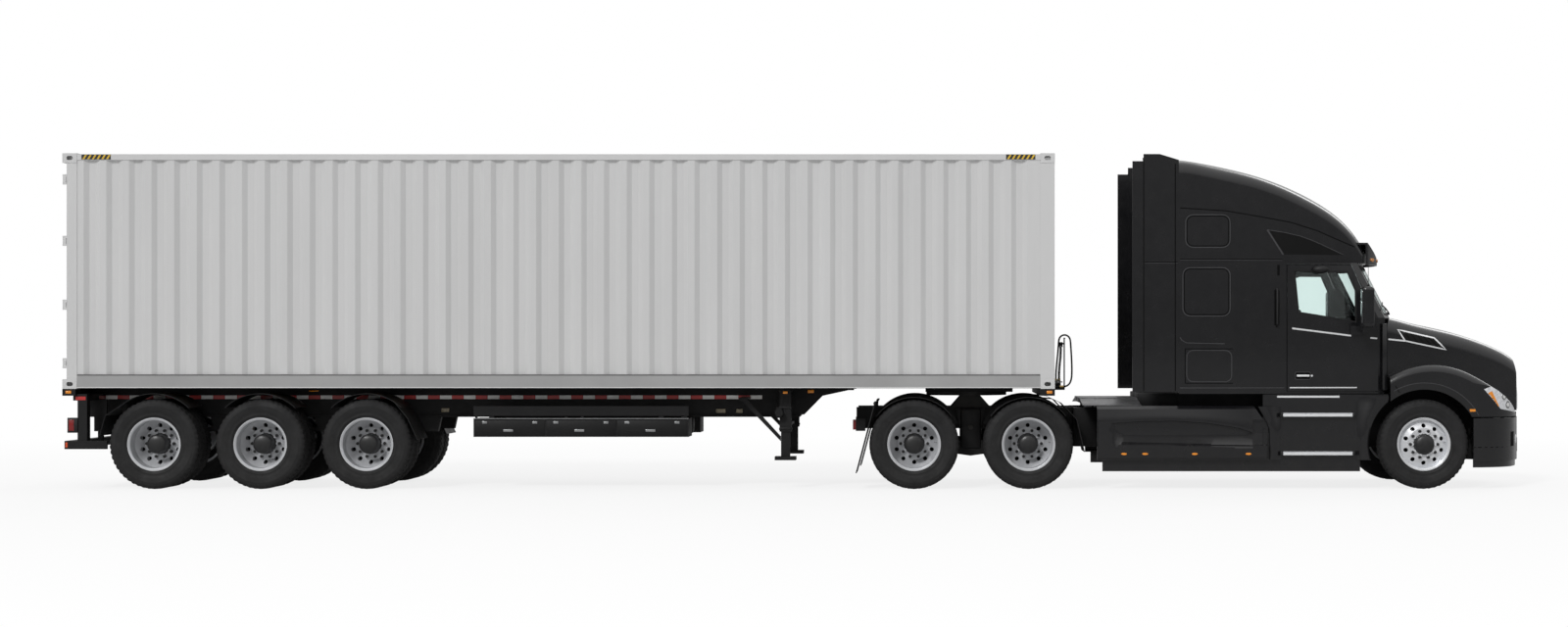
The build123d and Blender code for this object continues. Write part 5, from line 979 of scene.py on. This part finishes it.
def door_trim(tag, side):
    """Belt strips, the window's seal, a handle and lock over a black plate of painted shade ringed by a
    painted highlight, and the pod over the window.
    """
    door = "door" + tag
    made = Piece("door_trim" + tag, door)
    aim(door)
    strips(made, side,
           (0.014, chrome, 0.004, (15.09, 1.248), (15.93, 1.248)),
           (0.020, chrome, 0.004, (15.12, 1.980), (15.86, 1.889)),
           (0.020, chrome, 0.004, (16.10, 1.862), (16.185, 1.855)))
    aim(door, "door_glass" + tag)
    seal = ((15.147, 2.690), (15.815, 2.680), (15.918, 2.449), (15.918, 2.060), (15.199, 2.175))
    outlined(made, side, seal, 0.024, rubber, 0.003)
    aim(door)
    # Painted shade: a black plate for the handle's recess, with a painted highlight round its rim.
    plate_on(made, side, oblong(15.165, 15.345, 1.355, 1.435), seam_black)
    outlined(made, side, rounded(15.160, 15.350, 1.350, 1.440, 0.02), 0.008, edge_highlight, 0.004)
    wall = outside(side, at(15.255), 1.395).y
    out = side * wall
    made.side_box(side, (15.175, 15.335), (out + 0.018, out + 0.034), (1.383, 1.409), chrome, 0.007)
    for ahead in (15.19, 15.305):
        made.side_box(side, (ahead, ahead + 0.02), (out - 0.002, out + 0.022), (1.387, 1.405), chrome, 0.003)
    lock = at(15.365)
    made.rod((lock, wall - side * 0.006, 1.395), (lock, wall + side * 0.004, 1.395), 0.013, chrome)
    pod = at(15.47)
    made.ball((pod, side * 1.135, 2.705), (0.10, 0.055, 0.05), trim_plastic)
    made.tube(((pod, side * 1.06, 2.735), (pod, side * 1.115, 2.73)), 0.012, trim_plastic)
    made.done()


def mirror_glass(tag, side):
    """The two mirrors' glass and the aerial over them."""
    made = Piece("mirror_glass" + tag, "door" + tag)
    for low, high in ((-0.070, 0.190), (0.205, 0.330)):
        made.side_box(side, (15.933, 15.939), (1.268, 1.402), (BELT + low, BELT + high), mirror_silver, 0.006)
    x, y = at(16.02), side * 1.335
    made.rod((x, y, BELT + 0.36), (x, y, BELT + 0.86), 0.0045, trim_plastic, 8, tip=0.002)
    made.rod((x, y, BELT + 0.355), (x, y, BELT + 0.40), 0.012, trim_plastic, 12)
    made.done()


# ---------------------------------------------------------------- the tractor's front
def visor_lamps():
    """Five marker lamps along the roof's front."""
    made = Piece("visor_lamps", "tractor")
    aim("roof_cap")
    for y in (-0.72, -0.36, 0.0, 0.36, 0.72):
        made.patch(disc_rows((at(16.9), y, 2.835), (0, 0.055, 0), (0, 0, 0.022), 2, 16), BACKWARD, lens_amber,
                   0.012, 0.01)
    made.done()


def windscreen_trim():
    """The windscreen's seal and two wipers."""
    made = Piece("windscreen_trim", "tractor")
    aim("windshield", "cab_shell")
    ahead, low, high = 17.2, BELT + 0.045, BELT + 0.615
    frame_round(made, ahead_of(ahead, oblong(-0.888, 0.888, low, high)), 0.03, rubber, 0.003)
    out = Vector((0.022, 0, 0.006))
    for y in (-0.45, 0.25):
        foot = front_face(ahead, y, low + 0.01)
        tip = front_face(ahead, y - 0.36, low + 0.10)
        far = front_face(ahead, y - 0.52, low + 0.05)
        near = front_face(ahead, y - 0.06, low + 0.15)
        made.tube((foot + out, foot.lerp(tip, 0.5) + out * 1.3, tip + out), 0.008, trim_plastic)
        made.tube((far + out * 0.5, tip + out * 0.6, near + out * 0.5), 0.006, rubber)
        made.rod(foot - out, foot + out * 1.2, 0.02, trim_plastic)
    made.done()


def arch(radius, start, end):
    """Points round the front wheel, four degrees apart."""
    return [polar(radius, angle, (FRONT_AXLE - REAR, AXLE_HEIGHT)) for angle in range(start, end, 4)]


def hood_trim():
    """The hood's side vents, chrome strips, wheel arch strips (a plastic band and a painted highlight along
    the arch), marker lamps and seams.
    """
    made = Piece("hood_trim", "hood")
    aim("hood_shell")
    vent = ((16.455, 1.965), (16.924, 1.862), (17.077, 1.716), (16.547, 1.825))
    slats = 5
    for side in (-1, 1):
        plate_on(made, side, vent, mesh_black, 0.002, 8, 5)
        outlined(made, side, vent, 0.018, chrome, 0.006)
        for index in range(1, slats + 1):
            share = index / (slats + 1)
            top, foot = [Vector(vent[a]).lerp(Vector(vent[b]), share) for a, b in ((0, 1), (3, 2))]
            strips(made, side, (0.007, seam_black, 0.005, top, foot))
        # The last strip is a painted highlight along the wheel arch's lip.
        strips(made, side,
               (0.020, chrome, 0.006, (16.33, 1.845), (16.545, 1.825)),
               (0.010, seam_black, 0.0015, (16.335, 1.345), (16.43, 1.185)),
               (0.072, trim_plastic, 0.001, *arch(0.716, 29, 122)),
               (0.008, edge_highlight, 0.002, *arch(0.756, 28, 121)))
        plate_on(made, side, oblong(17.29, 17.36, 0.955, 0.985), lens_amber, 0.006, 2, 2)
    for y in (-0.36, 0.36):
        seam = [(at(ahead), y * (1 - 0.25 * (ahead - 16.5)), 2.6) for ahead in (16.55, 16.9, 17.25, 17.6)]
        made.patch(band(seam, 0.012), (0, 0, -1), seam_black, 0.001)
    made.done()


def headlamp_trim():
    """Two round lamps and a turn signal on each headlamp."""
    made = Piece("headlamp_trim", "hood")
    aim("headlamps")
    for side in (-1, 1):
        towards = Vector((-0.70, -side * 0.714, 0))
        for ahead, y, z, radius in ((17.80, 0.985, 1.035, 0.050), (17.745, 1.045, 1.135, 0.044)):
            start = Vector((at(ahead), side * y, z)) - towards * 0.5
            across = Vector((0.714, -side * 0.70, 0)) * radius
            for share, rings, material, lift in ((1.2, 2, chrome, 0.002), (1, 3, steel, 0.004),
                                                 (0.5, 2, plate_white, 0.008)):
                rows = disc_rows(start, across * share, (0, 0, radius * share), rings)
                made.patch(rows, towards, material, lift)
        signal = ((17.525, 1.185), (17.575, 1.205), (17.675, 1.02), (17.63, 0.998))
        plate_on(made, side, signal, lens_amber, 0.005, 4, 8)
    made.done()


def grille_surround():
    """A chrome frame round the grille."""
    made = Piece("grille_surround", "hood")
    aim("hood_shell", "grille")
    frame_round(made, ahead_of(18.3, oblong(-0.445, 0.445, 0.985, 1.575)), 0.034, chrome, 0.008)
    made.done()


def radiator():
    """The radiator between its two tanks, and a black sheet round it that paints the shade inside the front
    end.
    """
    made = Piece("radiator", "tractor")
    made.box((at(17.52), -0.40, 1.03), (at(17.57), 0.40, 1.55), mesh_black, 0.005)
    for side in (-1, 1):
        made.side_box(side, (17.50, 17.58), (0.40, 0.43), (0.995, 1.58), chassis_paint, 0.004)
    # Painted shade: a black sheet filling the front end's dark inside.
    made.box((at(17.53), -0.62, 0.66), (at(17.56), 0.62, 1.50), shade_sheet_black, 0.005)
    made.done()


def bumper_trim():
    """The bumper's air slot, round lamps, black patches of painted shade for two recesses, side seams, tow
    hooks and blank plate.
    """
    made = Piece("bumper_trim", "tractor")
    aim("bumper")
    ahead = 18.4
    slot = ahead_of(ahead, oblong(-0.42, 0.42, 0.44, 0.60))
    made.patch(sheet_rows(slot, 14, 4), BACKWARD, mesh_black, 0.002)
    frame_round(made, slot, 0.014, trim_plastic, 0.005)
    for side in (-1, 1):
        for radius, material, lift in ((0.055, chrome, 0.003), (0.045, lens_clear, 0.007)):
            rows = disc_rows((at(18.5), side * 0.68, 0.60), (0, radius, 0), (0, 0, radius))
            made.patch(rows, BACKWARD, material, lift)
        # Painted shade: a black patch stands for the shade in a recess.
        recess = ahead_of(ahead, oblong(side * 0.83, side * 0.93, 0.52, 0.70))
        made.patch(sheet_rows(recess, 4, 6), BACKWARD, seam_black, 0.002)
        strips(made, side, (0.010, seam_black, 0.001, (17.345, 0.515), (17.80, 0.515)))
        made.side_box(side, (17.98, 18.06), (0.255, 0.305), (0.29, 0.36), steel, 0.01)
    plate = front_face(ahead, 0, 0.72).x
    made.box((plate - 0.004, -0.155, 0.66), (plate + 0.0035, 0.155, 0.81), plate_white, 0.003)
    made.done()


# ---------------------------------------------------------------- the tractor's lower parts
def between(points, place):
    """What a line of (place, value) points gives at one place."""
    for (x0, z0), (x1, z1) in zip(points, points[1:]):
        if place <= x1:
            return z0 + (z1 - z0) * max(0.0, (place - x0) / (x1 - x0))
    return points[-1][1]


def fairing_skin(made, side):
    """The tank fairing's outside: a hollow under a swept crease, over a ledge with the markers."""
    hollow = ((0.535, 1.205), (0.56, 1.170), (0.69, 1.160), (0.815, 1.175), (0.86, 1.205), (0.99, 1.195))
    crease = ((12.88, 0.813), (13.28, 0.839), (13.645, 0.844), (14.06, 0.818), (14.45, 0.755), (14.70, 0.675))
    ledge = ((12.95, 0.582), (14.70, 0.545))
    first, last, count = 12.722, 14.625, 48
    flush, top = 1.212, 0.985
    columns = []
    for index in range(count + 1):
        ahead = first + (last - first) * index / count
        foot, head = between(ledge, ahead), between(crease, ahead)
        line = [(0.385, 1.207), (0.49, 1.211), (foot - 0.032, 1.211)]
        for share in (0.0, 0.25, 0.5, 0.75, 1.0):
            height = foot + (head - foot - 0.008) * share
            corner = 12.90 + 0.05 * (0.82 - height) / 0.24
            inside = min(1.0, max(0.0, (ahead - corner) / 0.04))
            line.append((height, flush + (between(hollow, height) + 0.003 - flush) * inside))
        line.append((head, 1.213))
        head += 0.03
        line += [(head + (top - head) * share, 1.214 - 0.017 * share) for share in (0.0, 0.4, 0.7, 1.0)]
        line.append((1.018, 1.158))
        columns.append([Vector((at(ahead), side * out, height)) for height, out in line])
    made.skin(list(zip(*columns)), (0, -side, 0), cab_paint)


def rear_rim(height):
    """Where the step well's rear cheek meets the tank fairing."""
    return between(((0.36, 14.832), (0.72, 14.828), (0.80, 14.805), (1.02, 14.682)), height) + 0.008


def front_rim(height):
    """Where the step well's front cheek meets the wheel arch."""
    return min(FRONT_AXLE - REAR - math.sqrt(0.692 ** 2 - (height - AXLE_HEIGHT) ** 2), 16.296)


def step_cheeks(made, side):
    """The step well's two rounded sides, out to the tank fairing and to the wheel arch."""
    flush, deep, foot = 1.203, 1.1375, 0.362
    slopes = ((0.0, flush - 0.012), (0.08, flush), (0.40, flush), (0.60, flush - 0.016), (0.80, deep + 0.014),
              (0.92, deep + 0.003), (1.0, deep))
    for rim_at, inner, top, count in ((rear_rim, 15.0, 1.018, 12), (front_rim, 15.89, 1.15, 16)):
        rows = []
        for index in range(count + 1):
            height = foot + (top - foot) * index / count
            rim = rim_at(height)
            rows.append([Vector((at(rim + (inner - rim) * share), side * out, height))
                         for share, out in slopes])
        made.skin(rows, (0, -side, 0), cab_paint)


def fairing_trim(tag, side):
    """The tank fairing's skin and markers, the step well's sides, a post behind the hood and a sill strip."""
    made = Piece("fairing_trim" + tag, "tractor")
    aim("side_fairings")
    fairing_skin(made, side)
    step_cheeks(made, side)
    made.side_box(side, (16.252, 16.310), (0.96, 1.015), (1.215, 2.04), cab_paint, 0.006)
    for ahead in (13.04, 13.30, 13.91, 14.57):
        rows = disc_rows((at(ahead), side * BESIDE, 0.436), (0.036, 0, 0), (0, 0, 0.014), 2, 16)
        made.patch(rows, (0, -side, 0), lens_amber, 0.014)
    strips(made, side, (0.024, chrome, 0.004, (14.933, 1.137), (15.70, 1.137)))
    made.done()


def step_trim(tag, side):
    """End caps, a bright edge and grip bars on both steps."""
    made = Piece("step_trim" + tag, "tractor")
    for z in (0.418, 0.893):
        for ahead in (14.969, 15.853):
            made.side_box(side, (ahead - 0.002, ahead + 0.032), (1.128, 1.199), (z - 0.004, z + 0.049),
                          trim_plastic, 0.008)
        made.side_box(side, (15.005, 15.849), (1.190, 1.1975), (z + 0.003, z + 0.030), chrome, 0.003)
        for index in range(16):
            ahead = 15.03 + index * 0.052
            made.side_box(side, (ahead, ahead + 0.03), (1.140, 1.188), (z + 0.0445, z + 0.0475), steel, 0.001)
    made.done()


def tail_trim(tag, side):
    """Three lenses on the tractor's tail lamp."""
    made = Piece("tail_trim" + tag, "tractor")
    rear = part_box("tractor_lamps")[0][0]
    for index, material in enumerate((lens_red, lens_amber, lens_clear)):
        y = side * (0.515 + index * 0.072)
        made.box((rear - 0.001, y - 0.030, 0.735), (rear + 0.003, y + 0.030, 0.818), material, 0.003)
    made.done()


def deck_plates(tag, side):
    """The deck behind the cab, level over the frame and sloping beside it, and a dark block ahead of it that
    paints the shade under the sleeper's rear.
    """
    made = Piece("deck_plates" + tag, "tractor")
    slope = Matrix.Rotation(-side * math.atan2(0.070, 0.60), 3, "X")
    made.side_box(side, (12.538, 13.262), (0.495, 1.105), (1.061, 1.068), deck_plate, 0.002, slope)
    made.side_box(side, (12.534, 13.262), (0, 0.494), (1.0485, 1.1125), deck_plate, 0.004)
    # Painted shade: a dark block under the sleeper's rear, where only shade shows.
    made.side_box(side, (13.265, 13.74), (0, 0.64), (1.015, 1.172), chassis_paint, 0.01)
    made.done()


def drive_trim(tag, side):
    """Brake chambers at the drive wheels with a flat dark sheet of painted shade behind each, a hanger with
    its pivot, and the box ahead of them.
    """
    made = Piece("drive_trim" + tag, "tractor")
    y = side * 0.30
    for name in SETS[1:3]:
        low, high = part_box("tyre_" + name + tag)
        x = centre_of("tyre_" + name + tag)[0]
        start = Vector((x + 0.12, y, 0.68))
        made.rod(start, start + Vector((0.18, 0, 0.02)), 0.08, chassis_paint, 20, bevel=0.01)
        made.box((x + 0.10, y - 0.035, 0.58), (x + 0.12, y + 0.035, 0.72), chassis_paint)
        # Painted shade: a flat dark sheet behind the wheel's upper half, filling the gap under the mudguard.
        inboard = (high if side < 0 else low)[1] - side * 0.013
        made.sector((x, AXLE_HEIGHT), 0.30, 0.598, inboard, -side * 0.004, 24, 156, trim_plastic)
    made.side_box(side, (12.45, 12.745), (0.44, 0.572), (0.50, 0.99), chassis_paint, 0.015)
    made.side_box(side, (11.04, 11.30), (0.42, 0.55), (0.47, 0.98), chassis_paint, 0.03)
    made.rod((at(11.17), side * 0.55, 0.74), (at(11.17), side * 0.565, 0.74), 0.03, cast_metal)
    made.done()


def arch_shade_sheet(tag, side):
    """A flat black sheet inside the front wheel arch, painted shade for its dark inside."""
    made = Piece("arch_shade_sheet" + tag, "tractor")
    made.sector((FRONT_AXLE, AXLE_HEIGHT), 0.12, 0.70, side * 0.530, -side * 0.004, -6, 186, shade_sheet_black)
    made.done()


def drive_shaft():
    """The drive shafts and their joints' housings."""
    made = Piece("drive_shaft", "tractor")
    made.rod((at(12.03), 0, 0.60), (at(16.30), 0, 0.76), 0.055, chassis_paint, 20)
    made.rod((at(10.65), 0, 0.56), (at(11.68), 0, 0.58), 0.045, chassis_paint)
    for ahead, z in ((12.10, 0.603), (14.1, 0.678), (16.2, 0.757)):
        made.rod((at(ahead), 0, z), (at(ahead + 0.09), 0, z + 0.003), 0.075, cast_metal)
    made.done()


def sleeper_rear_trim():
    """A rail, two grab handles, two work lamps and three couplings on the sleeper's rear wall."""
    made = Piece("sleeper_rear_trim", "tractor")
    face = SLEEPER_REAR
    made.box((face - 0.012, -0.55, 2.45), (face, 0.55, 2.52), trim_plastic, 0.006)
    for y in (-0.75, 0.75):
        line = ((face, y, 1.55), (face - 0.05, y, 1.58), (face - 0.05, y, 2.05), (face, y, 2.08))
        made.tube(line, 0.012, steel)
    for y in (-0.28, 0.28):
        made.box((face - 0.04, y - 0.06, 2.56), (face, y + 0.06, 2.66), trim_plastic, 0.01)
        made.box((face - 0.043, y - 0.05, 2.57), (face - 0.038, y + 0.05, 2.65), lens_clear, 0.003)
    for index, material in enumerate((steel, lens_red, chassis_paint)):
        y = -0.06 + index * 0.06
        made.rod((face - 0.05, y, 1.42), (face, y, 1.42), 0.018, material, 12)
    made.done()


# ---------------------------------------------------------------- cab inside
CAB_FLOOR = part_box("cab_interior")[0][2]
DASH = 16.234                                     # the dashboard's front
SEAT = 0.52                                       # Y of the seats' and the steering wheel's middle


def cushion(name, ahead, across, heights, material, puff=0.018, turn=None):
    """A padded block with rounded edges and a soft crown."""
    part = bmesh.new()
    low, high = [Vector((at(ahead[end]), across[end], CAB_FLOOR + heights[end])) for end in (0, 1)]
    half = (high - low) / 2
    reach = puff * 1.6
    inner = half - Vector((reach, reach, reach))
    bmesh.ops.create_cube(part, size=1)
    bmesh.ops.subdivide_edges(part, edges=part.edges[:], cuts=9, use_grid_fill=True)
    for vertex in part.verts:
        flat = vertex.co * 2
        full = Vector([flat[axis] * half[axis] for axis in range(3)])
        core = Vector([max(-1, min(1, full[axis] / inner[axis])) * inner[axis] for axis in range(3)])
        bulge = (1 - flat.x ** 4) * (1 - flat.y ** 4) * abs(flat.z) ** 8
        vertex.co = core + (full - core).normalized() * reach
        vertex.co.z += math.copysign(bulge * puff * 0.5, vertex.co.z)
    place_part(part, turn, (low + high) / 2)
    made = Piece(name, "tractor")
    made.add(part, material)
    made.done(["cab_interior"], sharp=60)


def inside_height(*heights):
    """Heights above the cab's floor."""
    return [CAB_FLOOR + height for height in heights]


def seat(tag, side):
    """A seat's base, cushion, back and head rest."""
    lean = Matrix.Rotation(math.radians(-9.5), 3, "Y")
    base = Piece("seat_base" + tag, "tractor")
    for ahead, half, heights, bevel in (((15.35, 15.70), 0.18, (0, 0.30), 0.02),
                                        ((15.28, 15.76), 0.22, (0.27, 0.33), 0.015)):
        base.side_box(side, ahead, (SEAT - half, SEAT + half), inside_height(*heights), trim_plastic, bevel)
    base.done(["cab_interior"])
    for name, ahead, half, heights, puff, turn in (
            ("seat_cushion", (15.25, 15.78), 0.25, (0.33, 0.45), 0.018, None),
            ("seat_back", (15.215, 15.335), 0.235, (0.46, 0.98), 0.018, lean),
            ("head_rest", (15.175, 15.265), 0.14, (0.99, 1.145), 0.012, lean)):
        cushion(name + tag, ahead, (side * SEAT - half, side * SEAT + half), heights, fabric, puff, turn)


def bunk():
    """The bunk's base with three locker lids, its mattress and a pillow."""
    made = Piece("bunk_base", "tractor")
    made.side_box(1, (13.80, 14.65), (-1.05, 1.05), inside_height(0, 0.40), trim_plastic, 0.01)
    for y in (-0.7, 0, 0.7):
        made.side_box(1, (14.645, 14.65), (y - 0.3, y + 0.3), inside_height(0.06, 0.34), seam_black)
    made.done(["cab_interior"])
    cushion("mattress", (13.805, 14.645), (-1.045, 1.045), (0.40, 0.55), fabric, 0.02)
    cushion("pillow", (13.85, 14.25), (0.52, 1.0), (0.55, 0.64), linen, 0.03)


def dashboard():
    """The dashboard with three dials."""
    made = Piece("dashboard", "tractor")
    part = bmesh.new()
    outline = ((0, 0.2), (0, 0.78), (-0.10, 0.785), (-0.26, 0.72), (-0.275, 0.60), (-0.20, 0.42),
               (-0.155, 0.2))
    loft(part, [[part.verts.new((at(DASH + ahead), y, CAB_FLOOR + height)) for ahead, height in outline]
                for y in (-0.88, 0.88)])
    made.add(part, interior)
    made.side_box(1, (DASH - 0.285, DASH - 0.255), (0.30, 0.74), inside_height(0.60, 0.72), seam_black, 0.01)
    dial = CAB_FLOOR + 0.66
    for y in (0.42, 0.52, 0.62):
        made.rod((at(DASH - 0.283), y, dial), (at(DASH - 0.287), y, dial), 0.038, steel, 24)
    made.done(["cab_interior"])


def steering_wheel():
    """The steering wheel with three spokes on its column."""
    made = Piece("steering_wheel", "tractor")
    turn = Matrix.Rotation(math.radians(-55), 3, "Y")
    hub = Vector((at(15.81), SEAT, CAB_FLOOR + 0.72))
    ring = [hub + turn @ Vector((*polar(0.215, 9 * step), 0)) for step in range(41)]
    made.tube(ring, 0.015, trim_plastic, 10)
    for angle in (0, 120, 240):
        made.rod(hub, hub + turn @ Vector((*polar(0.2, angle), 0)), 0.012, trim_plastic, 10)
    axle = turn @ Vector((0, 0, 1))
    made.rod(hub - axle * 0.01, hub + axle * 0.02, 0.06, trim_plastic, bevel=0.006)
    made.rod(hub, (at(DASH - 0.1), SEAT, CAB_FLOOR + 0.58), 0.03, trim_plastic)
    made.done(["cab_interior"])


# ---------------------------------------------------------------- cords
# The routes repeat the hoses' control points, in metres; HOSE_FOOT is the first coupling's X.
HOSE_FOOT = 3.1975
HOSE_ROUTE = (
    (0, -0.300, 1.290), (0, -0.300, 1.400), (0.010, -0.299, 1.530), (0.023, -0.297, 1.650),
    (0.033, -0.293, 1.770), (0.040, -0.289, 1.860), (0.083, -0.283, 1.900), (0.140, -0.277, 1.900),
    (0.183, -0.271, 1.860), (0.191, -0.265, 1.770), (0.199, -0.258, 1.650), (0.205, -0.251, 1.530),
    (0.207, -0.245, 1.420), (0.200, -0.241, 1.330), (0.168, -0.239, 1.266), (0.110, -0.238, 1.242),
    (0.050, -0.238, 1.242),
)
CABLE_ROUTE = (
    (0.046, -0.175, 1.290), (0.046, -0.175, 1.400), (0.052, -0.177, 1.520), (0.068, -0.182, 1.640),
    (0.068, -0.182, 1.760),
)


def nurbs(name, points, radius, steps=10):
    """A smooth curve of one open spline through a route's control points."""
    curve = bpy.data.curves.new(name, "CURVE")
    curve.dimensions = "3D"
    curve.bevel_depth = radius
    curve.bevel_resolution = 6
    curve.resolution_u = steps
    curve.use_fill_caps = True
    spline = curve.splines.new("NURBS")
    spline.points.add(len(points) - 1)
    for point, place in zip(spline.points, points):
        point.co = (*place, 1)
    spline.order_u = 3
    spline.use_endpoint_u = True
    thing = bpy.data.objects.new(name, curve)
    bpy.context.scene.collection.objects.link(thing)
    return thing


def at_foot(route):
    """A route's points in the frame."""
    return [(HOSE_FOOT + x, y, z) for x, y, z in route]


def spline_points(route):
    """Points along the smooth curve of a route."""
    guide = nurbs("guide", route, 0, 40)
    mesh = bpy.data.meshes.new_from_object(guide)
    points = [vertex.co.copy() for vertex in mesh.vertices]
    bpy.data.objects.remove(guide)
    bpy.data.meshes.remove(mesh)
    return points


def length_of(points):
    """The length of a line of points."""
    return sum((b - a).length for a, b in zip(points, points[1:]))


def place_along(points, distance):
    """The place and the direction at a distance along a line of points."""
    walked = 0.0
    for first, second in zip(points, points[1:]):
        step = (second - first).length
        if walked + step >= distance:
            break
        walked += step
    return first.lerp(second, (distance - walked) / step), (second - first).normalized()


def air_hose():
    """The air hose's hanging loop."""
    route = at_foot(HOSE_ROUTE)
    hose = nurbs("air_hose_line", route, 0.011)
    hose.data.materials.append(rubber)
    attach(hose, "trailer")
    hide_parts("air_hose")


def power_cable():
    """The curly power cable, its coils closing towards both ends."""
    middle = spline_points(at_foot(CABLE_ROUTE))
    length = length_of(middle)
    pitch, coil, thick, closing = 0.012, 0.0145, 0.0045, 0.02
    per_turn = 12
    count = int((length - 0.06) / pitch) * per_turn
    helix = []
    for index in range(count + 1):
        along = index / count * (length - 0.0001)
        place, ahead = place_along(middle, along)
        across = Vector((0, 1, 0)).cross(ahead).normalized()
        grow = min(1.0, along / closing, (length - along) / closing)
        a, b = polar(1, 360 * index / per_turn)
        helix.append(place + (across * a + ahead.cross(across) * b) * coil * grow)
    line = Piece("power_cable_line", "trailer")
    line.tube(helix, thick, rubber, 6)
    cable = line.done(["power_cable"], sharp=60)


def hose_fittings():
    """Collars where the hose and the cable leave their couplings, and at their other ends."""
    made = Piece("hose_fittings", "trailer")
    for x, y in ((HOSE_FOOT, -0.300), (HOSE_FOOT + 0.046, -0.175)):
        made.rod((x, y, 1.283), (x, y, 1.325), 0.024, steel, 6)
        made.rod((x, y, 1.325), (x, y, 1.345), 0.019, brass)
        made.box((x - 0.045, y - 0.012, 1.296), (x + 0.045, y + 0.012, 1.312), steel, 0.004)
    made.rod((HOSE_FOOT + 0.052, -0.238, 1.242), (HOSE_FOOT + 0.10, -0.238, 1.242), 0.018, brass)
    made.rod((HOSE_FOOT + 0.068, -0.182, 1.745), (HOSE_FOOT + 0.068, -0.182, 1.765), 0.026, steel)
    made.done()


# ---------------------------------------------------------------- the whole truck
def both_sides(*parts):
    """Build these parts on the right, then on the left."""
    for tag, side in SIDES:
        for part in parts:
            part(tag, side)


tyres()
wheel_trim()
both_sides(container_marks, door_seals)
both_sides(trailer_tape, trailer_markers, flap_bracket, landing_trim, side_box_trim, brake_chambers)
air_tanks()
rear_bar_marks()
both_sides(sleeper_trim, extender_trim, luggage_door_trim)
both_sides(door_trim, mirror_glass)
visor_lamps()
windscreen_trim()
hood_trim()
headlamp_trim()
grille_surround()
radiator()
bumper_trim()
both_sides(fairing_trim, step_trim, tail_trim, deck_plates, drive_trim, arch_shade_sheet)
drive_shaft()
sleeper_rear_trim()
both_sides(seat)
bunk()
dashboard()
steering_wheel()
air_hose()
power_cable()
hose_fittings()
